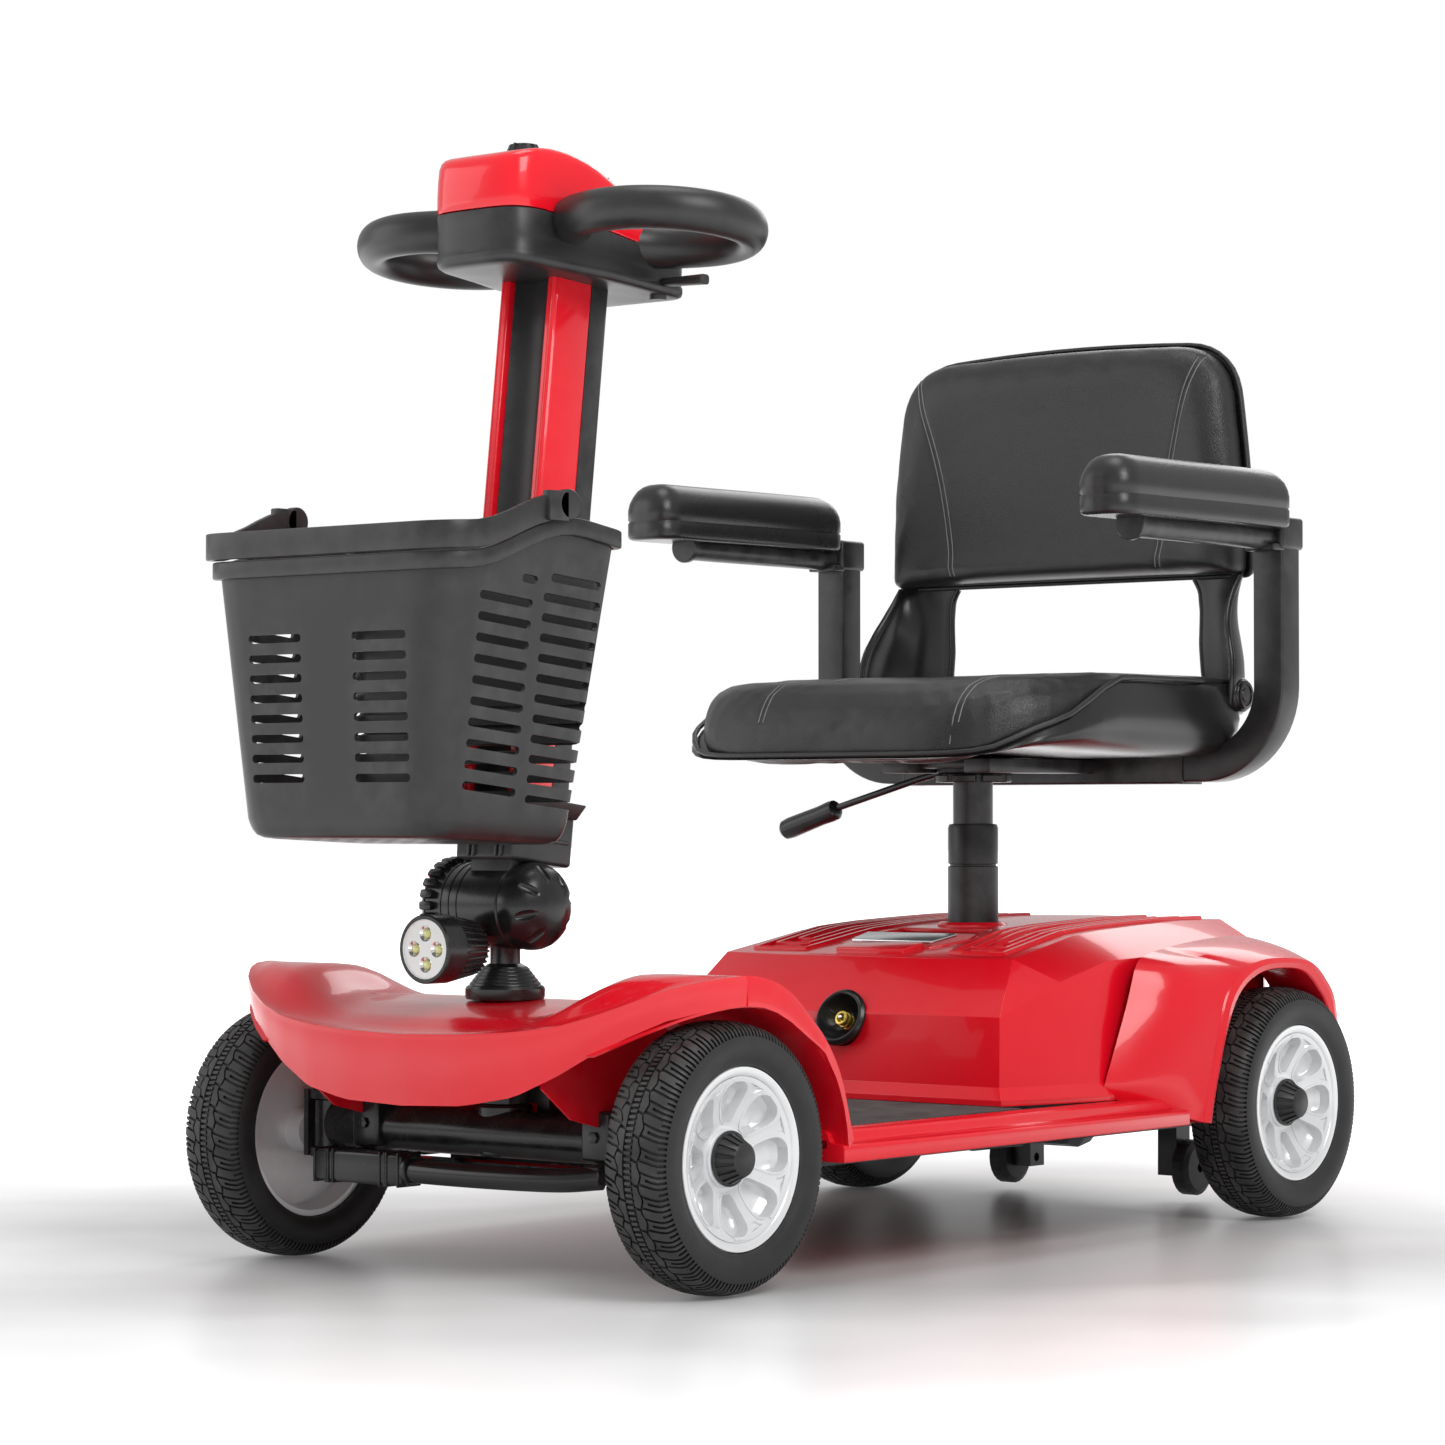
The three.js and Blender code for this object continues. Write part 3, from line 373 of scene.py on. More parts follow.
def newGroup(name, inputs, outputs):
    group = bpy.data.node_groups.new(name, "ShaderNodeTree")
    for label, kind, value in inputs:
        made = group.interface.new_socket(name=label, in_out="INPUT", socket_type=kind)
        if value is not None:
            made.default_value = value
    for label, kind in outputs:
        group.interface.new_socket(name=label, in_out="OUTPUT", socket_type=kind)
    return group, group.nodes.new("NodeGroupInput"), group.nodes.new("NodeGroupOutput")


def node(tree, kind, **settings):
    made = tree.nodes.new("ShaderNode" + kind)
    for key, value in settings.items():
        if key in made.inputs:
            made.inputs[key].default_value = value
        else:
            setattr(made, key, value)
    return made


def calc(tree, operation, a, b=None, c=None):
    made = node(tree, "Math", operation=operation)
    for slot, value in enumerate((a, b, c)):
        if value is None:
            continue
        if isinstance(value, (int, float)):
            made.inputs[slot].default_value = value
        else:
            tree.links.new(value, made.inputs[slot])
    return made.outputs[0]


def noiseAt(tree, vector, scale, detail=3.0, rough=0.5):
    made = node(tree, "TexNoise", Detail=detail, Roughness=rough)
    if isinstance(scale, (int, float)):
        made.inputs["Scale"].default_value = scale
    else:
        tree.links.new(scale, made.inputs["Scale"])
    tree.links.new(vector, made.inputs["Vector"])
    return made.outputs["Fac"]


def spread(tree, value, low, high, newLow=0.0, newHigh=1.0):
    made = node(tree, "MapRange")
    tree.links.new(value, made.inputs["Value"])
    for label, number in (("From Min", low), ("From Max", high), ("To Min", newLow), ("To Max", newHigh)):
        made.inputs[label].default_value = number
    return made.outputs["Result"]


def blendColour(tree, factor, first, second, how="MIX"):
    made = node(tree, "Mix", data_type="RGBA", blend_type=how)
    for slot, value in ((0, factor), (6, first), (7, second)):
        if hasattr(value, "links"):
            tree.links.new(value, made.inputs[slot])
        else:
            made.inputs[slot].default_value = value
    return made.outputs[2]


def makeSpeckleGroup():
    # fine moulded or powder texture: bumps of two sizes and a little tone variation
    group, start, end = newGroup("mould grain", [
        ("Vector", "NodeSocketVector", None), ("Grain Size", "NodeSocketFloat", 900.0),
        ("Tone Size", "NodeSocketFloat", 14.0)],
        [("Height", "NodeSocketFloat"), ("Tone", "NodeSocketFloat")])
    fine = noiseAt(group, start.outputs["Vector"], start.outputs["Grain Size"], 2.0, 0.6)
    coarse = noiseAt(group, start.outputs["Vector"],
                     calc(group, "MULTIPLY", start.outputs["Grain Size"], 0.28), 2.0)
    group.links.new(calc(group, "ADD", calc(group, "MULTIPLY", fine, 0.65),
                         calc(group, "MULTIPLY", coarse, 0.35)),
                    end.inputs["Height"])
    group.links.new(noiseAt(group, start.outputs["Vector"], start.outputs["Tone Size"], 4.0),
                    end.inputs["Tone"])
    return group


def makeEdgeGroup():
    # a mask that is strong on exposed edges, broken up by noise
    group, start, end = newGroup("edge rub", [
        ("Vector", "NodeSocketVector", None), ("Width", "NodeSocketFloat", 0.06),
        ("Break Up", "NodeSocketFloat", 60.0)],
        [("Mask", "NodeSocketFloat")])
    shape = node(group, "NewGeometry")
    high = calc(group, "SUBTRACT", shape.outputs["Pointiness"], 0.5)
    edge = calc(group, "DIVIDE", high, start.outputs["Width"])
    patch = spread(group, noiseAt(group, start.outputs["Vector"], start.outputs["Break Up"], 4.0), 0.35, 0.7)
    mask = calc(group, "MULTIPLY", calc(group, "MAXIMUM", edge, 0.0), patch)
    group.links.new(calc(group, "MINIMUM", mask, 1.0), end.inputs["Mask"])
    return group


def makeDustGroup():
    # thin dust that settles on faces turned upwards
    group, start, end = newGroup("settled dust", [
        ("Vector", "NodeSocketVector", None), ("Amount", "NodeSocketFloat", 0.1)],
        [("Mask", "NodeSocketFloat")])
    shape = node(group, "NewGeometry")
    split = node(group, "SeparateXYZ")
    group.links.new(shape.outputs["Normal"], split.inputs[0])
    upward = spread(group, split.outputs["Z"], 0.1, 1.0)
    cloud = spread(group, noiseAt(group, start.outputs["Vector"], 26.0, 6.0, 0.65), 0.38, 0.72)
    group.links.new(calc(group, "MULTIPLY", calc(group, "MULTIPLY", upward, cloud), start.outputs["Amount"]),
                    end.inputs["Mask"])
    return group


def makeLeatherGroup():
    # pebbled vinyl: small rounded cells with fine creases between them
    group, start, end = newGroup("vinyl pebble", [
        ("Vector", "NodeSocketVector", None), ("Cell Size", "NodeSocketFloat", 620.0)],
        [("Height", "NodeSocketFloat"), ("Tone", "NodeSocketFloat")])
    wander = node(group, "TexNoise", Scale=180.0, Detail=2.0)
    group.links.new(start.outputs["Vector"], wander.inputs["Vector"])
    push = node(group, "VectorMath", operation="MULTIPLY_ADD")
    group.links.new(wander.outputs["Color"], push.inputs[0])
    push.inputs[1].default_value = (0.0016, 0.0016, 0.0016)
    group.links.new(start.outputs["Vector"], push.inputs[2])
    cells = node(group, "TexVoronoi", feature="DISTANCE_TO_EDGE")
    group.links.new(push.outputs[0], cells.inputs["Vector"])
    group.links.new(start.outputs["Cell Size"], cells.inputs["Scale"])
    dome = spread(group, cells.outputs["Distance"], 0.0, 0.18)
    soft = noiseAt(group, start.outputs["Vector"], calc(group, "MULTIPLY", start.outputs["Cell Size"], 0.1),
                   5.0)
    group.links.new(calc(group, "ADD", calc(group, "MULTIPLY", dome, 0.7),
                         calc(group, "MULTIPLY", soft, 0.5)),
                    end.inputs["Height"])
    group.links.new(noiseAt(group, start.outputs["Vector"], 9.0, 4.0), end.inputs["Tone"])
    return group


speckleGroup = makeSpeckleGroup()
edgeGroup = makeEdgeGroup()
dustGroup = makeDustGroup()
leatherGroup = makeLeatherGroup()


def useGroup(tree, group, **settings):
    made = tree.nodes.new("ShaderNodeGroup")
    made.node_tree = group
    for label, value in settings.items():
        made.inputs[label.replace("_", " ")].default_value = value
    return made


def finish(name, look):
    # one recipe for all solid finishes; each look dictionary sets what differs
    material = bpy.data.materials.new(name)
    material.use_nodes = True
    tree = material.node_tree
    shader = tree.nodes["Principled BSDF"]
    where = node(tree, "TexCoord").outputs["Object"]
    shader.inputs["Metallic"].default_value = look.get("metal", 0.0)
    shader.inputs["IOR"].default_value = look.get("ior", 1.5)
    shader.inputs["Specular IOR Level"].default_value = look.get("specular", 0.5)
    if look.get("coat"):
        shader.inputs["Coat Weight"].default_value = look["coat"]
        shader.inputs["Coat Roughness"].default_value = look.get("coatRoughness", 0.05)
    if look.get("pebble"):
        grain = useGroup(tree, leatherGroup, Cell_Size=look["pebble"])
    else:
        grain = useGroup(tree, speckleGroup, Grain_Size=look.get("grain", 900.0),
                         Tone_Size=look.get("toneSize", 14.0))
    tree.links.new(where, grain.inputs["Vector"])
    # tone variation, then dust, then rubbed edges over the base colour
    tone = spread(tree, grain.outputs["Tone"], 0.3, 0.7, 1 - look.get("vary", 0.06),
                  1 + look.get("vary", 0.06))
    shade = node(tree, "VectorMath", operation="SCALE")
    shade.inputs[0].default_value = look["colour"]
    tree.links.new(tone, shade.inputs["Scale"])
    base = shade.outputs[0]
    dust = useGroup(tree, dustGroup, Amount=look.get("dust", 0.03))
    tree.links.new(where, dust.inputs["Vector"])
    base = blendColour(tree, dust.outputs["Mask"], base, look.get("dustColour", (0.42, 0.39, 0.36)) + (1.0,))
    rub = useGroup(tree, edgeGroup, Width=look.get("rubWidth", 0.08), Break_Up=look.get("rubBreak", 60.0))
    tree.links.new(where, rub.inputs["Vector"])
    rubbed = calc(tree, "MULTIPLY", rub.outputs["Mask"], look.get("rub", 0.25))
    paler = tuple(min(1.0, c * 2 + 0.03) for c in look["colour"])
    base = blendColour(tree, rubbed, base, look.get("rubColour", paler) + (1.0,))
    tree.links.new(base, shader.inputs["Base Color"])
    # roughness follows the same masks
    rough = spread(tree, grain.outputs["Tone"], 0.3, 0.7, look["rough"] * 0.9, look["rough"] * 1.12)
    rough = calc(tree, "ADD", rough, calc(tree, "MULTIPLY", dust.outputs["Mask"], 0.6))
    rough = calc(tree, "ADD", rough, calc(tree, "MULTIPLY", rubbed, look.get("rubRough", 0.15)))
    tree.links.new(calc(tree, "MINIMUM", rough, 1.0), shader.inputs["Roughness"])
    height = grain.outputs["Height"]
    if look.get("tread"):
        # worn scuff lines round a tyre's outside
        scuff = node(tree, "TexNoise", Scale=420.0, Detail=3.0)
        stretch = node(tree, "Mapping")
        stretch.inputs["Scale"].default_value = (4.0, 1.0, 1.0)
        tree.links.new(where, stretch.inputs["Vector"])
        tree.links.new(stretch.outputs[0], scuff.inputs["Vector"])
        height = calc(tree, "ADD", height, calc(tree, "MULTIPLY", scuff.outputs["Fac"], 0.6))
    bump = node(tree, "Bump", Strength=look.get("bump", 0.2), Distance=look.get("bumpDepth", 0.0004))
    tree.links.new(height, bump.inputs["Height"])
    tree.links.new(bump.outputs["Normal"], shader.inputs["Normal"])
    return material


looks = {
    "red gloss shell": {"colour": (0.70, 0.003, 0.014), "rough": 0.24, "specular": 0.3, "coat": 0.4,
                        "coatRoughness": 0.04, "grain": 260.0,
                        "bump": 0.03, "bumpDepth": 0.0003, "vary": 0.03, "rub": 0.10,
                        "rubColour": (0.85, 0.07, 0.07),
                        "dust": 0.015, "toneSize": 5.0},
    "moulded black": {"colour": (0.013, 0.013, 0.0135), "rough": 0.36, "specular": 0.42, "grain": 1500.0,
                      "bump": 0.22, "vary": 0.10,
                      "rub": 0.35, "rubColour": (0.085, 0.085, 0.085), "dust": 0.05},
    "satin black": {"colour": (0.009, 0.009, 0.0095), "rough": 0.24, "specular": 0.42, "grain": 1100.0,
                    "bump": 0.08, "vary": 0.08,
                    "rub": 0.25, "rubColour": (0.07, 0.07, 0.07), "dust": 0.03},
    "powder coat": {"colour": (0.010, 0.010, 0.0105), "rough": 0.32, "specular": 0.42, "grain": 700.0,
                    "bump": 0.16, "bumpDepth": 0.0003,
                    "vary": 0.08, "rub": 0.35, "rubColour": (0.10, 0.10, 0.10), "dust": 0.04},
    "black vinyl": {"colour": (0.014, 0.014, 0.0145), "rough": 0.36, "specular": 0.45, "pebble": 520.0,
                    "bump": 0.30, "bumpDepth": 0.0005,
                    "vary": 0.12, "rub": 0.12, "dust": 0.03},
    "arm pad skin": {"colour": (0.013, 0.013, 0.0135), "rough": 0.27, "specular": 0.45, "pebble": 760.0,
                     "bump": 0.14, "bumpDepth": 0.0003,
                     "vary": 0.10, "rub": 0.15, "dust": 0.02},
    "tyre rubber": {"colour": (0.014, 0.014, 0.0145), "rough": 0.50, "specular": 0.42, "grain": 800.0,
                    "bump": 0.25, "vary": 0.14, "tread": True,
                    "rub": 0.45, "rubColour": (0.09, 0.09, 0.088), "dust": 0.10},
    "floor rubber": {"colour": (0.028, 0.028, 0.029), "rough": 0.55, "grain": 1300.0, "bump": 0.30,
                     "vary": 0.12,
                     "rub": 0.35, "rubColour": (0.10, 0.10, 0.10), "dust": 0.16},
    "rim silver": {"colour": (0.74, 0.75, 0.76), "rough": 0.30, "metal": 0.25, "coat": 0.5,
                   "coatRoughness": 0.08,
                   "grain": 1800.0, "bump": 0.05, "vary": 0.03, "rub": 0.25, "rubColour": (0.9, 0.9, 0.9),
                   "dust": 0.05},
    "bright steel": {"colour": (0.56, 0.57, 0.58), "rough": 0.26, "metal": 1.0, "grain": 1600.0, "bump": 0.10,
                     "vary": 0.10, "rub": 0.3, "rubColour": (0.8, 0.8, 0.8), "dust": 0.04},
    "grey casing": {"colour": (0.085, 0.09, 0.10), "rough": 0.45, "metal": 0.4, "grain": 600.0, "bump": 0.25,
                    "vary": 0.12, "rub": 0.4, "dust": 0.12},
    "brass core": {"colour": (0.62, 0.47, 0.10), "rough": 0.26, "metal": 0.9, "grain": 900.0, "bump": 0.05,
                   "vary": 0.08, "rub": 0.2, "rubColour": (0.85, 0.7, 0.3), "dust": 0.02},
    "lamp bezel": {"colour": (0.70, 0.70, 0.69), "rough": 0.24, "grain": 1500.0, "bump": 0.05, "vary": 0.04,
                   "coat": 0.5, "rub": 0.1, "dust": 0.02},
    "lamp cup": {"colour": (0.80, 0.80, 0.78), "rough": 0.14, "metal": 0.85, "grain": 700.0, "bump": 0.05,
                 "vary": 0.06,
                 "rub": 0.1, "dust": 0.0},
    "lamp crystal": {"colour": (0.62, 0.58, 0.22), "rough": 0.10, "coat": 0.8, "grain": 500.0, "bump": 0.05,
                     "vary": 0.10,
                     "rub": 0.1, "dust": 0.0},
    "stitch thread": {"colour": (0.13, 0.13, 0.135), "rough": 0.65, "grain": 3000.0, "bump": 0.4,
                      "vary": 0.15, "dust": 0.02},
    "silver plate": {"colour": (0.62, 0.63, 0.65), "rough": 0.22, "metal": 0.9, "grain": 1500.0, "bump": 0.08,
                     "vary": 0.05, "rub": 0.2, "rubColour": (0.85, 0.85, 0.85), "dust": 0.03},
}
finishes = {name: finish(name, look) for name, look in looks.items()}
red, mould, satin, powder = [finishes[n] for n in ("red gloss shell", "moulded black", "satin black",
                                                   "powder coat")]
vinyl, rubber, matRubber = [finishes[n] for n in ("black vinyl", "tyre rubber", "floor rubber")]
silver, steel, casing, brass = [finishes[n] for n in ("rim silver", "bright steel", "grey casing",
                                                      "brass core")]
print("finishes made:", len(finishes))


# wheels: tyre, rim and hub cap, modelled once and copied

wheel = {"radius": 100.0, "bead": 67.9, "steps": 288, "treadDepth": 2.2, "spokes": 8, "windowDepth": 9.0,
         "frontY": -320.0, "rearY": 436.0, "axleHeight": 100.0, "frontTrack": 216.0, "rearTrack": 225.0}


def makeTyre():
    w = wheel
    right = [(2.8, 99.9), (4.4, 99.8), (9.6, 99.4), (11.2, 99.2), (15.5, 98.5), (20.5, 97.2), (24.4, 95.2),
             (26.6, 92.4), (28.0, 89.4),
             (28.8, 86.0), (29.0, 82.0), (28.4, 77.0), (26.8, 72.6), (25.2, 70.4), (24.6, w["bead"])]
    profile = [(-x, r) for x, r in reversed(right)] + right
    tyre = turned("tyre", profile, w["steps"], "X")
    pitch = math.tau / w["steps"]

    def station(co):
        return (math.atan2(co[2], co[1]) % math.tau) / pitch, math.hypot(co[1], co[2])

    def leanOf(x):
        return math.copysign(1, x) * max(0.0, min(abs(x), 24) - 4) * 0.0032

    # the outer groove zigzags and the blocks lean over
    for corner in tyre.data.vertices:
        co = corner.co / mm
        step, radius = station(co)
        if radius < 88:
            continue
        if 9 < abs(co[0]) < 12:
            corner.co.x += (0.0, 1.0, 1.5, 1.0, 0.0, -1.0, -1.5, -1.0)[round(step) % 8] * mm
        lean = leanOf(co[0])
        y, z = corner.co.y, corner.co.z
        corner.co.y = y * math.cos(lean) - z * math.sin(lean)
        corner.co.z = y * math.sin(lean) + z * math.cos(lean)

    def grooved(centre, normal):
        step, radius = station(centre)
        side = abs(centre[0])
        if radius < 90.5:
            return False
        if radius > 97 and (2.9 < side < 4.3 or (8.6 < side < 12.4 and abs(side - 10.4) < 1.75
                                                 and radius > 98.6)):
            return True
        number = int(math.floor(step - leanOf(centre[0]) / pitch + 0.001)) + (0 if centre[0] > 0 else 2)
        if 4.4 < side < 9:
            return number % 8 == 5
        if 11 < side < 15.6:
            return number % 4 == 0
        if 15.6 < side < 20.6:
            return number % 4 == 0 or (number % 8 == 2)
        if 20.6 < side < 24.6:
            return number % 4 == 0 or number % 8 == 2
        return number % 2 == 0  # fine lugs down the shoulder

    pick(tyre, grooved)
    bpy.ops.mesh.extrude_region_shrink_fatten(TRANSFORM_OT_shrink_fatten={"value": -w["treadDepth"] * mm})
    leaveEdit()
    tidyMesh(tyre, 0.02)
    smoothShade(tyre, 28)
    return tyre


def makeRim():
    w = wheel
    cells = w["spokes"]
    # rows from the hub outwards: radius, depth, half angle of the window between two spokes
    rows = [(19.0, 8.4, 4.0), (23.0, 8.4, 4.6), (25.0, 8.6, 5.4), (26.0, 8.8, 6.2), (27.4, 9.2, 10.6),
            (30.5, 10.0, 13.2),
            (36.0, 11.4, 14.8), (42.0, 13.6, 15.7), (47.0, 16.0, 15.7), (51.0, 18.4, 14.6),
            (53.5, 20.0, 12.2), (55.3, 21.0, 8.8),
            (56.3, 21.6, 5.4), (58.4, 22.4, 5.0), (60.2, 22.8, 5.0)]
    grid = []
    for radius, depth, half in rows:
        ring = []
        border = half + math.degrees(1.3 / radius)
        for cell in range(cells):
            for offset in (-22.5, -(22.5 + border) / 2, -border, -half, -half * 0.8, -half * 0.4, 0,
                           half * 0.4, half * 0.8, half, border,
                           (22.5 + border) / 2):
                angle = math.radians(cell * 360 / cells + offset)
                ring.append((depth, radius * math.cos(angle), radius * math.sin(angle)))
        grid.append(ring)
    face = sheet("spoke face", [ring + [ring[0]] for ring in grid])
    tidyMesh(face)
    only(face)
    if face.data.polygons[0].normal.x < 0:
        bpy.ops.object.mode_set(mode="EDIT")
        bpy.ops.mesh.select_all(action="SELECT")
        bpy.ops.mesh.flip_normals()
        leaveEdit()

    def cellPlace(centre):
        angle = math.degrees(math.atan2(centre[2], centre[1]))
        return math.hypot(centre[1], centre[2]), abs((angle + 22.5) % 45 - 22.5)

    halves = [(r, h) for r, d, h in rows]

    def inWindow(centre, normal):
        radius, offset = cellPlace(centre)
        return 26.1 < radius < 56.2 and offset < lerp(halves, radius) + 0.1

    def inBorder(centre, normal):
        radius, offset = cellPlace(centre)
        reach = lerp(halves, radius) + math.degrees(1.4 / radius)
        return 25.1 < radius < 58.0 and offset < reach and not inWindow(centre, normal)

    def inBowl(centre, normal):
        radius, offset = cellPlace(centre)
        return 29 < radius < 54 and offset < 0.62 * lerp(halves, radius) and normal[0] > 0.3

    pick(face, inBorder)
    bpy.ops.mesh.extrude_region_move(TRANSFORM_OT_translate={"value": (0.8 * mm, 0, 0)})
    leaveEdit()
    pick(face, inWindow)
    bpy.ops.mesh.extrude_region_move(TRANSFORM_OT_translate={"value": (-w["windowDepth"] * mm, 0, 0)})
    leaveEdit()
    # the window floors sink to a bowl
    pick(face, lambda c, n: inWindow(c, n) and inBowl(c, n))
    bpy.ops.transform.translate(value=(-2.4 * mm, 0, 0))
    leaveEdit()
    # shallow marks in the wide outer end of each spoke
    pick(face, lambda c, n: 51.2 < cellPlace(c)[0] < 56.2 and cellPlace(c)[1] > 17.5 and n[0] > 0.5)
    bpy.ops.mesh.inset(thickness=0.9 * mm, depth=-1.6 * mm)
    leaveEdit()
    tidyMesh(face, 0.004)
    # the outer edge of the face becomes the barrel, the inner edge the hub, and the back closes them
    open_ = turned("rim barrel", [(22.0, 60.0), (23.6, 61.0), (24.6, 63.5), (24.6, 66.8), (23.4, 67.5),
                                  (14.0, 67.5),
                                  (-18.0, 67.5), (-21.0, 67.5), (-21.0, 63.0), (-12.0, 59.0), (14.0, 58.2)],
                                  96, "X")
    hub = turned("rim hub", [(8.0, 0.0), (11.6, 0.0), (11.6, 20.0), (10.6, 21.5), (8.0, 21.5),
                             (-19.5, 15.0), (-19.5, 0.0)], 48, "X")
    back = turned("rim web", [(-3.6, 12.0), (-1.0, 59.4), (-4.0, 59.4), (-7.0, 12.0)], 72, "X")
    rim = gather("rim", face, open_, hub, back)
    smoothShade(rim, 40)
    return rim


def makeHubCap():
    cap = turned("hub cap", [(11.4, 0.0), (11.4, 19.5), (12.6, 20.4), (14.0, 20.4), (14.6, 18.6),
                             (17.4, 17.2), (27.0, 12.4),
                             (28.2, 10.6), (28.4, 0.0)], 64, "X")
    # eight flutes down the cone
    pick(cap, lambda c, n: 15.0 < c[0] < 27.5
         and int((math.degrees(math.atan2(c[2], c[1])) % 45) / 5.625) in (1, 2, 5, 6)
         and n[0] > 0.05)
    bpy.ops.mesh.inset(thickness=0.25 * mm, depth=-1.1 * mm)
    leaveEdit()
    smoothShade(cap, 35)
    return cap


tyre, rim, hubCap = makeTyre(), makeRim(), makeHubCap()
for corner, side, y in (("front_left", 1, wheel["frontY"]), ("front_right", -1, wheel["frontY"]),
                        ("rear_left", 1, wheel["rearY"]), ("rear_right", -1, wheel["rearY"])):
    track = wheel["frontTrack"] if "front" in corner else wheel["rearTrack"]
    body = "wheel_" + {"front_left": "fl", "front_right": "fr", "rear_left": "rl", "rear_right": "rr"}[corner]
    spot = place(side * track, y, wheel["axleHeight"])
    if side < 0:
        spot = spot @ Matrix.Rotation(math.pi, 4, "Z")
    dress(twin(tyre, "tread_" + corner, spot), rubber, body, "tyre", "tyre_" + corner)
    dress(twin(rim, "spoked_rim_" + corner, spot), silver, body, "rim_silver", "rim_" + corner)
    dress(twin(hubCap, "hub_cap_" + corner, spot), mould, body, "moulded_black")
for pattern in (tyre, rim, hubCap):
    bpy.data.objects.remove(pattern, do_unlink=True)
print("wheels done")


# front body shell: nose, fenders, wheel arches, floor pan and sills

nose = {"wall": 2.6, "lipReturn": 14.0, "archRadius": 111.0, "archInner": 122.0,
        # outline of the crease from the middle round to the side: x, y, crease height, lower edge height
        "edge": [(0, -428, 187, 134), (60, -426, 188.5, 136), (105, -420, 191.5, 144), (140, -412, 196, 160),
                 (168, -403, 204, 177), (192, -391, 213.5, 190), (213, -375, 223, 201), (230, -356, 229, 207),
                 (241, -338, 232, 210), (245, -322, 233, 211)],
        # side view down the middle, and over the wheel
        "valley": [(-428, 187), (-400, 196), (-350, 206), (-300, 209), (-262, 208), (-244, 194),
                   (-222, 155), (-205, 118), (-196, 99)],
        "hump": [(-430, 212), (-352, 233), (-322, 233), (-300, 231), (-280, 225.5), (-262, 215.5),
                 (-248, 203), (-226, 184),
                 (-208, 157), (-199, 128), (-193, 99)],
        # lip line over the wheel: outer y to inner (y, z)
        "lip": [(-322, (-321, 211)), (-300, (-303, 209.5)), (-280, (-286, 205)), (-262, (-270, 198)),
                (-248, (-260, 192)),
                (-226, (-229.4, 174)), (-208, (-213.2, 151)), (-199, (-202.8, 124)), (-193, (-200, 99))]}


def noseEdge(x):
    x = abs(x)
    for a, b in zip(nose["edge"], nose["edge"][1:]):
        if x <= b[0]:
            t = (x - a[0]) / (b[0] - a[0])
            return [a[i] + (b[i] - a[i]) * t for i in range(1, 4)]
    return list(nose["edge"][-1][1:])


def softTable(table, value, reach=7.0):
    # a table read with its corners eased over a short reach
    return sum(lerp(table, value + reach * k / 3) for k in (-3, -2, -1, 0, 1, 2, 3)) / 7


def noseHeight(x, y):
    start = 85 + 36 * ease((y + 410) / 110)
    width = 88 - 40 * ease((y + 410) / 110)
    side = ease((abs(x) - start) / width)
    return (1 - side) * softTable(nose["valley"], y) + side * softTable(nose["hump"], y)


def makeNoseShell():
    xs = [0, 14, 28, 42, 56, 70, 82, 92, 101, 110, 118, 126, 134, 142, 150, 158, 166, 174, 182, 190, 198,
          206, 213, 220, 226, 232,
          237, 241, 245]
    xs = [-x for x in reversed(xs[1:])] + xs
    steps = [0.0, 0.012, 0.03, 0.06, 0.10, 0.14, 0.18, 0.23, 0.28, 0.33, 0.38, 0.43, 0.48, 0.53, 0.58, 0.63,
             0.67, 0.71, 0.75,
             0.79, 0.83, 0.865, 0.90, 0.935, 0.97, 1.0]
    back = -193.0

    def column(x):
        y, z, low = noseEdge(x)
        run = []
        for t in steps:
            yy = y + (back - y) * t
            lifted = noseHeight(x, yy)
            edge = ease(t / 0.16)
            run.append((x, yy, z * (1 - edge) + lifted * edge))
        return [(x, y + 3, low), (x, y + 1.5, low + 0.3 * (z - low)), (x, y, z - 5),
                (x, y + 0.3, z - 1.6)] + [run[0]] + run[1:]

    def sideColumns(sign):
        # face of the lip and its lower corner
        outer = column(sign * 245)[5:]
        faces, inner, deep = [], [], []
        for x, y, z in outer:
            y = max(-322, min(-193, y))
            iy = lerp([(a, b[0]) for a, b in nose["lip"]], y)
            iz = lerp([(a, b[1]) for a, b in nose["lip"]], y)
            faces.append((sign * 246.2, y + (iy - y) * 0.12, z + (iz - z) * 0.14))
            inner.append((sign * 246.2, iy, iz))
            deep.append((sign * (245 - nose["lipReturn"]), iy, iz))
        return [[inner[0]] * 5 + inner, [faces[0]] * 5 + faces]

    rows = [column(x) for x in xs]
    left, right = sideColumns(-1), sideColumns(1)
    columns = [left[0], left[1]] + rows + [right[1], right[0]]
    shell = sheet("nose shell", columns)
    tidyMesh(shell, 0.05)
    only(shell)
    return shell


def noseReach(y):
    # how far out the shell's outline is at this place along the scooter
    return lerp([(-420, 105), (-412, 140), (-403, 168), (-391, 192), (-375, 213), (-356, 230), (-338, 241),
                 (-322, 245)], y)


